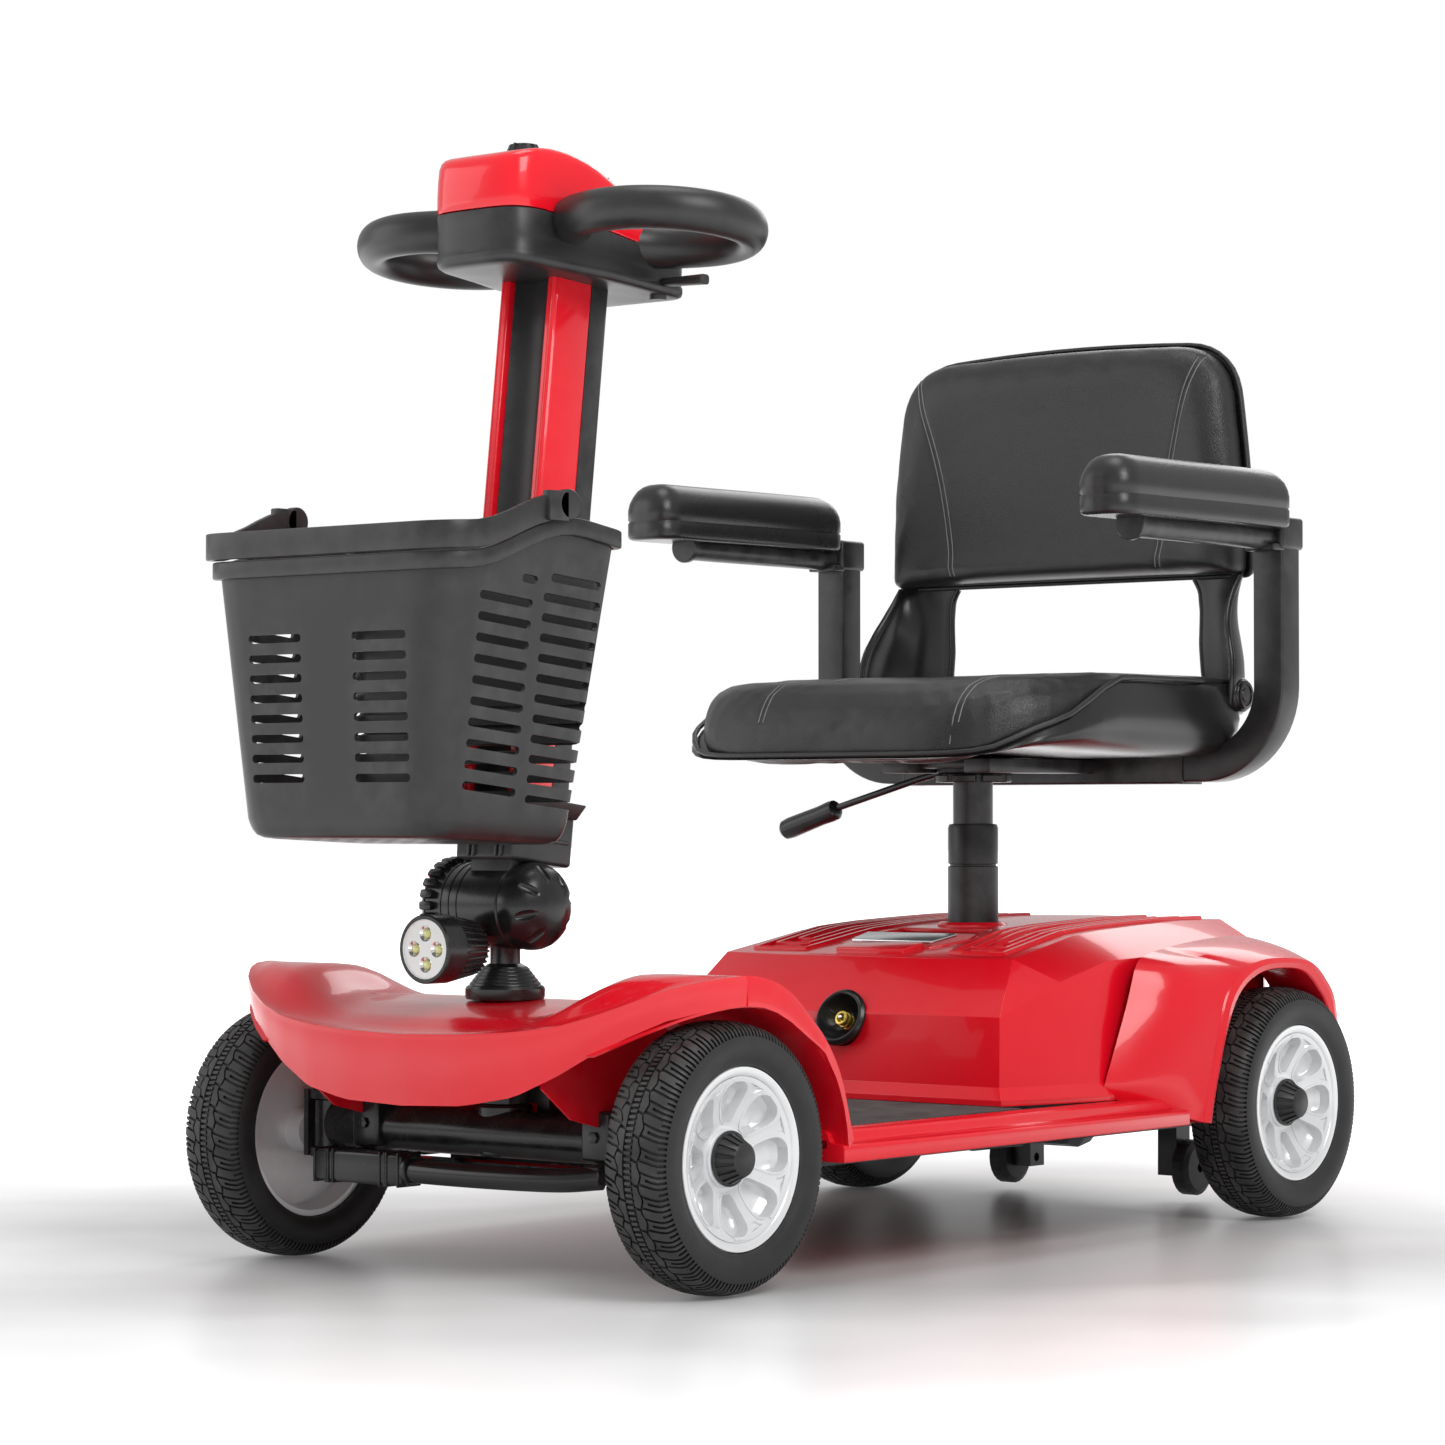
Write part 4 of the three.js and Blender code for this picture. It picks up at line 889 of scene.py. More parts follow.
def archLiner(sign):
    # the red wall that closes the wheel arch inside the shell
    w = nose
    rings = []
    for step in range(25):
        angle = math.radians(-3 + step * 5.85)
        stretch = w["archRadius"] + (9.5 if math.cos(angle) > 0 else 0)  # room behind a turned wheel
        y, z = -320 + stretch * math.cos(angle), 100 + w["archRadius"] * math.sin(angle)
        reach = noseReach(y) - 2.0
        across = [reach, reach * 0.66 + w["archInner"] * 0.34, reach * 0.33 + w["archInner"] * 0.67]
        rings.append([(sign * x, y, z) for x in across] + [
            (sign * (w["archInner"] + 5), y, z - 1.5),
            (sign * w["archInner"], -320 + (w["archRadius"] - 6) * math.cos(angle),
             100 + (w["archRadius"] - 6) * math.sin(angle))])
    liner = sheet("arch liner", rings)
    thicken(liner, 2.0, 0)
    curve = [(-320 + 106 * math.cos(math.radians(a)), 100 + 106 * math.sin(math.radians(a)))
             for a in range(4, 143, 6)]
    foot = [(-404, 150), (-372, 126), (-340, 118), (-230, 112)]
    wall = outline("arch wall", [(sign * w["archInner"], y, z) for y, z in curve + foot],
                   (-sign * 2.2, 0, 0))
    return liner, wall


def makeSill(sign):
    section = [(246, 90), (246.6, 91), (246.6, 100.5), (245.4, 102.6), (243.4, 103.4), (236, 103.8),
               (233.5, 104.6), (232, 106.6),
               (230.6, 110.6), (228.6, 112.6), (225, 113.4), (212, 113.4), (208.6, 112.6), (206.5, 110.4),
               (205.4, 107.5),
               (204, 98), (206, 90)]
    bar = outline("sill", [(sign * x, -206, z) for x, z in section], (0, 474, 0))
    # the sill's ends run in behind the fenders
    pick(bar, lambda c: c[1] > 260, "VERT")
    bpy.ops.transform.resize(value=(1, 1, 0.94), center_override=(sign * 0.226, 0.268, 0.095))
    leaveEdit()
    soften(bar, 0.7, 2, 25)
    return bar


noseShell = makeNoseShell()
thicken(noseShell, nose["wall"])
pan = block("floor pan", (-232, -206, 98), (232, 110, 108), 2.0)
columnHole = rod("column hole", (0, -310, 150), (0, -310, 260), 16)
carve(noseShell, columnHole)
frontPieces = [noseShell, pan, makeSill(1), makeSill(-1)]
for sign in (1, -1):
    frontPieces += archLiner(sign)
frontShell = gather("front_body_shell", *frontPieces)
smoothShade(frontShell, 38)
dress(frontShell, red, "chassis", "red_shell", "front_shell")
print("front shell done")


# ribbed floor mat

mat = {"low": 108.3, "high": 112.2, "ribs": 44}


def makeMat():
    plate = block("mat", (-203, -186, mat["low"]), (203, 92.5, mat["high"] - 0.9), 0.6, 2)
    pitch = (92.5 + 180) / mat["ribs"]
    rib = block("mat rib", (-199, -180, mat["high"] - 1.2), (199, -180 + pitch * 0.55, mat["high"]), 0.5, 1)
    ribs = [rib] + [twin(rib, "mat rib", place(0, pitch * i, 0)) for i in range(1, mat["ribs"])]
    return gather("ribbed_floor_mat", plate, *ribs)


floorMat = makeMat()
smoothShade(floorMat, 35)
dress(floorMat, matRubber, "chassis", "floor_rubber", "floor_mat")


# rear body shell: faceted box, fenders, grab pocket and raised ribs

rear = {"wall": 2.4, "postY": 302.0, "ribHeight": 2.6}


def makeRearBox():
    # levels from the skirting up to the middle line; columns from the middle of the front round to the back
    skirt = [(0, 92), (90, 92), (178, 92.5), (196, 150), (203, 180), (207, 207), (198, 300), (196, 350),
             (195, 420), (190, 490), (172, 524), (0, 526)]
    waist = [(0, 98), (90, 98.5), (171, 100), (187, 151), (194, 180), (200, 207), (192, 300), (189, 350),
             (187, 420), (185, 486), (168, 520), (0, 523)]
    shoulder = [(0, 101, 184), (90, 101, 184), (170, 102, 184), (185, 167, 211), (188, 232, 227),
                (190, 272, 228.5), (189, 310, 230),
                (188, 350, 232), (186, 420, 234), (184, 486, 232), (165, 520, 214), (0, 523, 214)]
    top = [(0, 143, 229), (90, 143, 229), (152, 146, 230), (152, 146, 230), (145, 243, 247),
           (143, 285, 250.5), (141, 318, 252),
           (140, 350, 253.5), (138, 420, 256), (132, 498, 256), (125, 508, 254), (0, 510, 254)]
    middle = [(0, 143, 229.4), (0, 143.2, 229.4), (0, 147, 230.6), (0, 152, 231.6), (0, 243, 248.8),
              (0, 285, 252.4), (0, 318, 253.8),
              (0, 350, 255.2), (0, 420, 257.6), (0, 498, 257.6), (0, 508, 255.4), (0, 510, 254)]
    rows = []
    for i in range(len(top)):
        sx, sy = skirt[i]
        wx, wy = waist[i]
        half = [(sx, sy, 112.4), (sx, sy, 117), (wx, wy, 127), shoulder[i], top[i], middle[i]]
        rows.append(half)
    near = [list(r) for r in rows]
    far = [[(-x, y, z) for x, y, z in r] for r in rows]
    box = gather("rear box", sheet("rear box near", near), sheet("rear box far", far))
    tidyMesh(box, 0.2)
    soften(box, 2.4, 3, 9)
    thicken(box, rear["wall"])
    return box


def makeRearFender(sign):
    # lines run from the front foot of the fender over the wheel and down behind it
    root = [(200, 206, 116), (203, 207, 128), (204, 222, 160), (204, 238, 192), (203, 254, 224),
            (198, 280, 232), (191, 318, 236),
            (188, 360, 240), (186, 410, 243), (184, 452, 243), (182, 484, 236), (176, 508, 216),
            (172, 519, 180), (170, 521, 120)]
    edge = [(247, 286, 92), (247, 292, 112), (247, 303, 142), (247, 312, 168), (247, 322, 194),
            (247, 338, 211), (247, 358, 221.5),
            (247, 384, 226.5), (247, 414, 227), (247, 444, 225), (247, 466, 220), (246, 487, 207),
            (245, 506, 184), (243, 520, 122)]
    lip = [(249, 299, 90), (249, 304, 110), (249, 314, 140), (249, 324, 166), (249, 337, 189),
           (249, 352, 203), (249, 370, 211.5),
           (249, 390, 216), (249, 414, 217), (249, 438, 215.5), (249, 456, 210), (248, 473, 199),
           (247, 492, 178), (245, 509, 120)]
    flip = [[(x * sign, y, z) for x, y, z in line] for line in (root, edge, lip)]
    root, edge, lip = [curvePoints(line, 5) for line in flip]
    rows = []
    count = len(root)
    for i in range(count):
        r, e, l = Vector(root[i]), Vector(edge[i]), Vector(lip[i])
        s = i / (count - 1)
        # the front of the fender swells outward between its root and its lip
        swell = 13.0 * math.sin(math.pi * min(1, s * 2.2)) if s < 0.45 else 3.0
        out = Vector((0.0, -0.5, 0.55)) if s < 0.5 else Vector((0, 0.2, 0.6))
        row = []
        for k in range(9):
            t = k / 8
            row.append(r + (e - r) * t + out * swell * math.sin(math.pi * t)
                       + Vector((sign * swell * 0.55 * math.sin(math.pi * t), 0, 0)))
        row += [e + Vector((sign * 1.4, 0, 0)) + (l - e) * 0.08,
                e + (l - e) * 0.5 + Vector((sign * 2.4, 0, 0)), l + (e - l) * 0.08,
                l + Vector((-sign * 1.6, 0, 0)), l + Vector((-sign * 16, 0, 0)),
                l + Vector((-sign * 50, 0, 0))]
        rows.append(row)
    fender = sheet("rear fender", rows)
    if sign < 0:
        pick(fender, lambda c, n: True)
        bpy.ops.mesh.flip_normals()
        leaveEdit()
    thicken(fender, 2.2)
    return fender


def ribAlong(name, points, width, height):
    # a low ridge with a rounded top that follows the deck
    section = [(-width / 2, -3.0), (-width / 2, height - 1.2), (-width / 2 + 0.9, height),
               (width / 2 - 0.9, height),
               (width / 2, height - 1.2), (width / 2, -3.0)]
    return tube(name, [Vector(p) for p in points], section)


def deckHeight(y):
    return lerp([(97, 184), (143, 229.2), (147, 230.4), (243, 248.2), (285, 251.8), (350, 254.6),
                 (420, 257), (498, 257)], y)


def deckRun(points, count=6):
    run = []
    for (x0, y0), (x1, y1) in zip(points, points[1:]):
        for i in range(count):
            t = i / count
            run.append((x0 + (x1 - x0) * t, y0 + (y1 - y0) * t))
    run.append(points[-1])
    return [(x, y, deckHeight(y) - 0.4) for x, y in run]


def makeDeckRibs(sign):
    pieces = []
    loops = [[(64, 478), (64, 262), (78, 162), (132, 162), (128, 262), (122, 478)],
             [(76, 460), (76, 268), (88, 180), (122, 180), (118, 268), (111, 460)],
             [(88, 440), (88, 274), (97, 198), (112, 198), (108, 274), (100, 440)]]
    for number, loop in enumerate(loops):
        run = deckRun([(sign * x, y) for x, y in loop])
        pieces.append(ribAlong("deck rib", run, 5.6 - number * 0.6, rear["ribHeight"]))
    return pieces


def tiltedPlate(name, points, low, high):
    # a flat plate that lies along the sloping deck
    plate = outline(name, [(x, y, deckHeight(y) + low) for x, y in points], (0, 0, high - low))
    soften(plate, 1.1, 3, 30)
    return plate


rearBox = makeRearBox()
hexagon = [(40, 181), (58, 214), (44, 258), (-44, 258), (-58, 214), (-40, 181)]
pocketCut = outline("pocket cut", [(x, y, 222) for x, y in hexagon], (0, 0, 60))
postCut = rod("post cut", (0, rear["postY"], 225), (0, rear["postY"], 280), 24.5, 48)
socketAt, socketFacing = Vector((9, 99.5, 179)), Vector((0, -0.927, 0.375))
carve(rearBox, rod("socket hole", socketAt - socketFacing * 17, socketAt + socketFacing * 16, 22.0, 48),
      pocketCut, postCut, solver="MANIFOLD")
tray = outline("pocket tray", [(x * 1.06, 218 + (y - 218) * 1.06, 224) for x, y in hexagon], (0, 0, 60))
pick(tray, lambda c, n: n[2] > 0.9)
bpy.ops.mesh.delete(type="FACE")
leaveEdit()
for corner in tray.data.vertices:
    if corner.co.z > 0.25:
        corner.co.z = (deckHeight(corner.co.y / mm) + 0.8) * mm
thicken(tray, 2.4, 1)
soften(tray, 0.8, 2, 30)
collarRing = turned("post ring", [(247, 24.6), (253.6, 24.6), (255.4, 25.6), (255.4, 29), (253, 31.5),
                                  (247, 31.5)], 64, "Z", (0, rear["postY"], 0))
frontPlate = tiltedPlate("raised plate", [(-37, 152), (35, 152), (37, 178), (-39, 178)], -2.0, 5.0)
rearPieces = [rearBox, makeRearFender(1), makeRearFender(-1), tray, collarRing,
              frontPlate] + makeDeckRibs(1) + makeDeckRibs(-1)
rearShell = gather("rear_body_shell", *rearPieces)
smoothShade(rearShell, 24)
dress(rearShell, red, "chassis", "red_shell", "rear_shell")
plate = tiltedPlate("grab_plate", [(-44, 183), (42, 183), (47, 213), (-49, 213)], 2.4, 5.4)
smoothShade(plate)
dress(plate, finishes["silver plate"], "chassis", "steel")
print("rear shell done")


# steering joint: stepped collar, cast yoke, ribbed barrel, scooped knob

joint = {"y": -310.0, "z": 280.0, "barrel": 33.0, "scoops": 8}


def makeCollar():
    profile = [(209, 10), (209, 29.6), (211, 30.6), (217, 30.6), (219, 29.4), (219.6, 27.6)]
    for step in range(5):
        z, r = 220.0 + step * 2.7, 27.4 - step * 2.1
        profile += [(z, r), (z + 1.5, r - 0.2), (z + 1.9, r - 1.3), (z + 2.6, r - 1.5)]
    profile += [(234.4, 15), (236, 12.6), (236, 10)]
    collar = turned("collar", profile, 72, "Z", (0, joint["y"], 0))
    smoothShade(collar, 30)
    return collar


def makeYoke():
    y, z = joint["y"], joint["z"]
    neck = turned("neck", [(234, 0), (234, 11.6), (248, 11.6), (254, 15), (262, 20), (262, 0)], 48, "Z",
                  (0, y, 0))
    barrel = turned("barrel", [(-55, 0), (-55, 30), (-53.4, 32.4), (-50, joint["barrel"]),
                               (18.6, joint["barrel"]), (19.8, 31.8), (19.8, 0)],
                    72, "X", (0, y, z))
    bands = [turned("barrel band", [(x, 30), (x, 33.5), (x + 1.2, 33.5), (x + 1.2, 30)], 72, "X",
                    (0, y, z)) for x in (-38, -30, -22)]
    # ratchet teeth round the far end, where the fold angle is held
    teeth = []
    tooth = block("tooth", (-56.0, y - 3.4, z + 30), (-44, y + 3.4, z + 37.4), 1.6, 2)
    for number in range(15):
        teeth.append(twin(tooth, "tooth", turn(-30 + number * 15, "X", 0, y, z)))
    bpy.data.objects.remove(tooth, do_unlink=True)
    lug = block("lamp lug", (-5.5, y - 46, 241), (5.5, y - 24, 257), 2.5)
    yoke = gather("steering_yoke_cast", neck, barrel, lug, *bands, *teeth)
    smoothShade(yoke, 35)
    return yoke


def makeKnob():
    # dome with eight scoops cut out of its shoulder
    y, z = joint["y"], joint["z"]
    knob = turned("knob", [(20.2, 0), (20.2, 31.6), (21.4, 33.0), (27, 33.6), (33, 33.0), (38.5, 31.0),
                           (43.4, 27.4), (47.2, 22.6),
                           (49.8, 17.2), (51.2, 12.4), (51.8, 10.6), (51.9, 0)], 96, "X", (0, y, z))
    for number in range(joint["scoops"]):
        bpy.ops.mesh.primitive_uv_sphere_add(segments=28, ring_count=14, radius=10 * mm,
                                             location=(44.6 * mm, 0, 27.4 * mm),
                                             rotation=(0, math.radians(48), 0), scale=(1.25, 0.42, 0.36))
        scoop = fresh("scoop")
        bpy.ops.object.transform_apply(location=True, rotation=True, scale=True)
        angle = math.tau * (number + 0.3) / joint["scoops"]
        scoop.data.transform(place(0, y, z) @ Matrix.Rotation(angle, 4, "X"))
        carve(knob, scoop)
    smoothShade(knob, 42)
    return knob


dress(makeCollar(), satin, "chassis", "satin_black", "column_collar")
dress(makeYoke(), satin, "steering", "satin_black", "steering_yoke")
dress(makeKnob(), satin, "clamp_knob", "satin_black", "tiller_knob")
ratchet = turned("ratchet_end_cap", [(-66, 0), (-66, 22), (-64, 25), (-59, 30), (-56.2, 31), (-56.2, 0)],
                 64, "X", (0, joint["y"], joint["z"]))
smoothShade(ratchet)
dress(ratchet, satin, "steering", "satin_black", "ratchet_cap")


# headlight with cooling fins and four lamp cups

lamp = {"z": 249.0, "front": -400.0, "radius": 26.0, "cupOffset": 11.6, "cup": 5.6}


def makeHeadlight():
    z, front = lamp["z"], lamp["front"]
    body = turned("lamp body", [(front, 22.6), (front, 25.0), (front + 1.2, 26.0), (front + 20, 26.0),
                                (front + 21, 24.6),
                                (front + 47, 19.5), (front + 52, 17.0), (front + 57, 12), (front + 57, 0),
                                (front + 8, 0), (front + 8, 22.6)],
                  72, "Y", (0, 0, z))
    fins = []
    fin = block("fin", (-0.9, front + 21, z + 14), (0.9, front + 50, z + 25.6), 0.6, 2)
    pick(fin, lambda c: c[1] > front + 45 and c[2] > z + 20, "VERT")
    bpy.ops.transform.translate(value=(0, 0, -4.6 * mm))
    leaveEdit()
    for number in range(30):
        fins.append(twin(fin, "fin", turn(number * 12, "Y", 0, 0, z)))
    bpy.data.objects.remove(fin, do_unlink=True)
    body = gather("headlight_housing", body, *fins)
    smoothShade(body, 32)
    face = turned("lamp_bezel", [(front + 1.4, 0), (front + 1.4, 21.6), (front + 0.4, 22.4),
                                 (front + 3.4, 22.4), (front + 7.5, 22.2), (front + 7.5, 0)],
                  64, "Y", (0, 0, z))
    cups, crystals = [], []
    for number in range(4):
        angle = math.tau * number / 4
        x, dz = lamp["cupOffset"] * math.cos(angle), lamp["cupOffset"] * math.sin(angle)
        cutter = turned("cup cut", [(front - 2, 0), (front - 2, 6.4), (front + 1.6, 6.0),
                                    (front + 6.4, 2.4), (front + 6.4, 0)], 32, "Y", (x, 0, z + dz))
        carve(face, cutter)
        cups.append(turned("cup", [(front + 1.3, 5.9), (front + 1.9, 6.3), (front + 6.9, 2.6),
                                   (front + 6.9, 0), (front + 6.3, 0), (front + 6.3, 2.2),
                                   (front + 1.8, 5.4)],
                           32, "Y", (x, 0, z + dz)))
        bpy.ops.mesh.primitive_ico_sphere_add(subdivisions=2, radius=3.3 * mm,
                                              location=(x * mm, (front + 4.0) * mm, (z + dz) * mm),
                                              scale=(1, 0.75, 1))
        gem = fresh("crystal")
        bpy.ops.object.transform_apply(location=True, rotation=True, scale=True)
        crystals.append(gem)
    smoothShade(face)
    cups, crystals = gather("lamp_cups", *cups), gather("lamp_crystals", *crystals)
    smoothShade(cups)
    return body, face, cups, crystals


lampBody, lampFace, lampCups, lampCrystals = makeHeadlight()
dress(lampBody, satin, "headlight", "satin_black", "headlight_body")
dress(lampFace, finishes["lamp bezel"], "headlight", "lamp_lens", "headlight_lens")
dress(lampCups, finishes["lamp cup"], "headlight", "lamp_lens")
dress(lampCrystals, finishes["lamp crystal"], "headlight", "lamp_lens")
print("steering joint and headlight done")


# tiller: socket, core with a hollow front, red trims

tiller = {"lean": -0.1172, "top": 490.0}
leaned = place(0, joint["y"], joint["z"]) @ Matrix.Rotation(tiller["lean"], 4, "X")


def lean(piece):
    piece.data.transform(leaned)
    return piece


def makeBracket():
    hub = turned("tiller hub", [(-21.6, 0), (-21.6, 29), (-20, 31), (20, 31), (21.6, 29), (21.6, 0)], 48, "X")
    neck = block("tiller neck", (-21, -22, 12), (21, 24, 48), 4)
    pieces = [hub, neck, block("socket front", (-29, -30, 33), (29, 40, 75), 3.4, 4)]
    # upright ribs on the socket and a flared lip that meets the basket
    for x in (-14, -9, 14, 19):
        pieces.append(block("socket rib", (x - 1.4, -32.2, 35), (x + 1.4, -28, 74), 1.2, 2))
    for side in (1, -1):
        pieces.append(block("side band", (min(side * 27, side * 31), -24, 50),
                            (max(side * 27, side * 31), 34, 53), 1.0, 2))
    pieces.append(loft("flare", [[(31, -31, 70), (31, 40, 70), (-31, 40, 70), (-31, -31, 70)],
                                 [(37, -35, 82), (37, 44, 82), (-37, 44, 82), (-37, -35, 82)]]))
    soften(pieces[-1], 1.5, 3)
    bracket = lean(gather("tiller_socket", *pieces))
    smoothShade(bracket)
    return bracket


def makeCore():
    front = [(-19, -25), (-15.5, -21.5), (-10, -18.4), (-4, -17), (4, -17), (10, -18.4), (15.5, -21.5),
             (19, -25), (19.2, -15), (23.6, -15),
             (23.6, 12), (28, 12), (28, 29), (26, 33), (20, 37), (-20, 37), (-26, 33), (-28, 29), (-28, 12),
             (-23.6, 12), (-23.6, -15), (-19.2, -15)]
    core = outline("core", [(x, y, 58) for x, y in front], (0, 0, tiller["top"] - 58))
    soften(core, 0.9, 2, 40)
    lean(core)
    core.name = core.data.name = "tiller_column"
    smoothShade(core, 25)
    return core


def makeTrim(sign):
    section = [(19.4, -28.6), (19.9, -30.2), (21.4, -31.2), (24.4, -31.4), (27.0, -30.2), (28.6, -27.4),
               (28.9, -20), (28.9, 8.6), (28.0, 11.4),
               (26.2, 11.7), (24.0, 11.4), (24.0, -14.6), (19.4, -14.6)]
    trim = outline("trim", [(sign * x, y, 60) for x, y in section], (0, 0, tiller["top"] - 60))
    soften(trim, 0.6, 2, 35)
    # a bright raised ridge runs down the front corner
    ridge = tube("trim ridge", [(sign * 26.2, -29.8, z) for z in (62, 270, tiller["top"] - 1)],
                 roundSection(1.6, count=12), up=(0, 1, 0))
    trim = lean(gather("tiller_red_trim_" + ("left" if sign > 0 else "right"), trim, ridge))
    smoothShade(trim, 25)
    return trim


dress(makeBracket(), mould, "tiller", "moulded_black", "tiller_bracket")
dress(makeCore(), mould, "tiller", "moulded_black", "tiller_core")
dress(makeTrim(1), red, "tiller", "red_shell", "tiller_trim_left")
dress(makeTrim(-1), red, "tiller", "red_shell", "tiller_trim_right")
print("tiller done")


# console: black base, red cover, closed handle loops and controls

console = {"loopX": 104.0, "loopY": -250.0, "loopZ": 797.0, "reachX": 73.0, "reachY": 62.5, "slope": -0.108}
consolePlan = [(0, -351), (18, -350.6), (32, -348.6), (41, -344), (46, -336), (48.5, -324), (50.5, -308),
               (53, -290), (57, -270), (59.5, -250),
               (60, -230), (60, -200), (60, -176), (58.6, -169), (54.5, -164), (47, -162), (24, -161.6),
               (0, -161.5)]


def planPoint(t, inset=0.0):
    # a point round the half outline, t from 0 at the front to 1 at the back
    spot = t * (len(consolePlan) - 1)
    i = min(int(spot), len(consolePlan) - 2)
    (x0, y0), (x1, y1) = consolePlan[i], consolePlan[i + 1]
    f = spot - i
    x, y = x0 + (x1 - x0) * f, y0 + (y1 - y0) * f
    length = math.hypot(x, (y + 256) * 0.55) or 1
    return x - inset * x / length, y - inset * (y + 256) * 0.55 / length * 1.4


def consoleRing(inset, height, count=34):
    # height is a number, or a rule that gives it from y
    half = [planPoint(i / (count - 1), inset) for i in range(count)]
    ring = half + [(-x, y) for x, y in reversed(half[1:-1])]
    return [(x, y, height(y) if callable(height) else height) for x, y in ring]


def seamHeight(y):
    return softTable([(-352, 809.5), (-320, 808.5), (-290, 803), (-262, 799), (-220, 792), (-150, 779)],
                     y, 10)


def underside(y):
    return lerp([(-352, 767.5), (-162, 754)], y)


def domeHeight(y):
    return softTable([(-370, 842), (-352, 848), (-335, 853), (-318, 856), (-300, 856.4), (-284, 853.5),
                      (-268, 848), (-250, 838), (-232, 828.5),
                      (-214, 820), (-196, 813), (-178, 807), (-160, 803)], y, 9)


def makeConsoleBase():
    rings = [consoleRing(9, lambda y: underside(y) - 0.4), consoleRing(3.2, lambda y: underside(y)),
             consoleRing(0.9, lambda y: underside(y) + 1.6),
             consoleRing(0.0, lambda y: underside(y) + 4.6), consoleRing(0.0, lambda y: underside(y) + 8),
             consoleRing(0.8, lambda y: underside(y) + 9.4),
             consoleRing(0.8, lambda y: (underside(y) + seamHeight(y)) / 2),
             consoleRing(0.2, lambda y: seamHeight(y) - 2.2),
             consoleRing(0.9, lambda y: seamHeight(y) - 0.9), consoleRing(4, lambda y: seamHeight(y) - 0.6)]
    base = loft("console_lower", rings)
    smoothShade(base, 40)
    return base


def makeConsoleCover():
    rings = []
    for inset, share in ((2.6, -0.004), (0.9, 0.0), (0.3, 0.04), (0.3, 0.3), (0.8, 0.6), (1.6, 0.82),
                         (3.0, 0.92), (5.4, 0.975), (9.0, 0.995), (16, 1.0)):
        def height(y, share=share):
            return seamHeight(y) + 0.3 + (domeHeight(y) - seamHeight(y)) * share

        rings.append(consoleRing(inset, height))
    for shrink in (0.6, 0.4, 0.2):
        ring = rings[9]
        rings.append([(x * shrink, -256 + (y + 256) * (0.45 + 0.55 * shrink),
                       domeHeight(-256 + (y + 256) * (0.45 + 0.55 * shrink)) + 1.2) for x, y, z in ring])
    cover = loft("console_red_cover", rings)
    smoothShade(cover, 50)
    return cover


def makeLoop(sign):
    c = console
    path = []
    for step in range(61):
        angle = math.radians(-150 + 300 * step / 60)
        y = c["reachY"] * math.sin(angle)
        x = c["loopX"] + c["reachX"] * math.cos(angle)
        path.append((sign * x, c["loopY"] + y, c["loopZ"] + c["slope"] * y))
    # the tube flattens and flares where it runs into the base
    rings = []
    for i, spot in enumerate(path):
        ahead, behind = path[min(i + 1, 60)], path[max(i - 1, 0)]
        direction = (Vector(ahead) - Vector(behind)).normalized()
        side = direction.cross(Vector((0, 0, 1))).normalized()
        rise = side.cross(direction)
        root = min(i, 60 - i) / 60
        flare = 1 + 0.34 * ease(1 - root / 0.16)
        rings.append([Vector(spot) + side * (s * 13.4 * flare) + rise
                      * (u * 16.6 * (1 + 0.10 * ease(1 - root / 0.16)))
                      for s, u in roundSection(1.0, count=28)])
    loop = loft("handle_loop_" + ("left" if sign > 0 else "right") + "_grip", rings)
    smoothShade(loop, 60)
    return loop


dress(makeConsoleBase(), mould, "tiller", "moulded_black", "console_base")
dress(makeConsoleCover(), red, "tiller", "red_shell", "console_cover")
dress(makeLoop(1), mould, "tiller", "moulded_black", "handle_loop_left")
dress(makeLoop(-1), mould, "tiller", "moulded_black", "handle_loop_right")


def makeDial():
    dial = turned("dial", [(850, 0), (850, 13), (857, 14), (859, 14), (862, 12.6), (865.4, 11.2), (866, 9),
                           (866, 0)], 48, "Z", (0, -250, 0))
    pick(dial, lambda c, n: 858.5 < c[2] < 865
         and int(math.degrees(math.atan2(c[1] + 250, c[0])) % 30 / 7.5) in (1, 2))
    bpy.ops.mesh.inset(thickness=0.2 * mm, depth=-0.7 * mm)
    leaveEdit()
    dial.data.transform(place(0, -40, 0))
    pointer = block("pointer", (-0.8, -301, 865.6), (0.8, -293, 866.3), 0.25, 2)
    dial = gather("speed_dial_knob", dial, pointer)
    smoothShade(dial)
    return dial


dress(makeDial(), mould, "dial", "moulded_black", "speed_dial")
key = gather("key_with_bow", turned("key lock", [(806, 0), (806, 7), (820, 7), (823.5, 6), (824, 0)], 32,
                                    "Z", (24, -222, 0)),
             block("key bow", (17.5, -223.4, 824), (30.5, -220.6, 846), 2.0))
smoothShade(key)
dress(key, steel, "key", "steel", "key_switch")
horn = turned("horn_push", [(812, 0), (812, 8), (828.5, 8), (830.6, 7), (832, 4.4), (832.2, 0)], 40, "Z",
              (-24, -222, 0))
smoothShade(horn)
dress(horn, mould, "horn", "moulded_black", "horn_button")


def makeThrottle():
    hub = turned("throttle hub", [(752.4, 0), (752.4, 6.6), (784, 6.6), (784, 0)], 32, "Z", (48, -186, 0))
    blade = tube("throttle blade", curvePoints([(50, -187, 766), (66, -194, 764), (86, -198, 763),
                                                (106, -199, 762.5)], 6), boxSection(4.6, 3.6, 2.6),
                 scale=lambda t: 0.85 + 0.25 * t)
    lever = gather("throttle_paddle", hub, blade)
    smoothShade(lever)
    return lever


dress(makeThrottle(), mould, "throttle", "moulded_black", "throttle_lever")
print("console done")


# basket: slotted tub with a raised rim, and the flat carry handle that lies on it

basket = {"wall": 3.0, "pivotY": -398.0, "slots": 8, "slotPitch": 14.7, "slotTilt": 6.0}


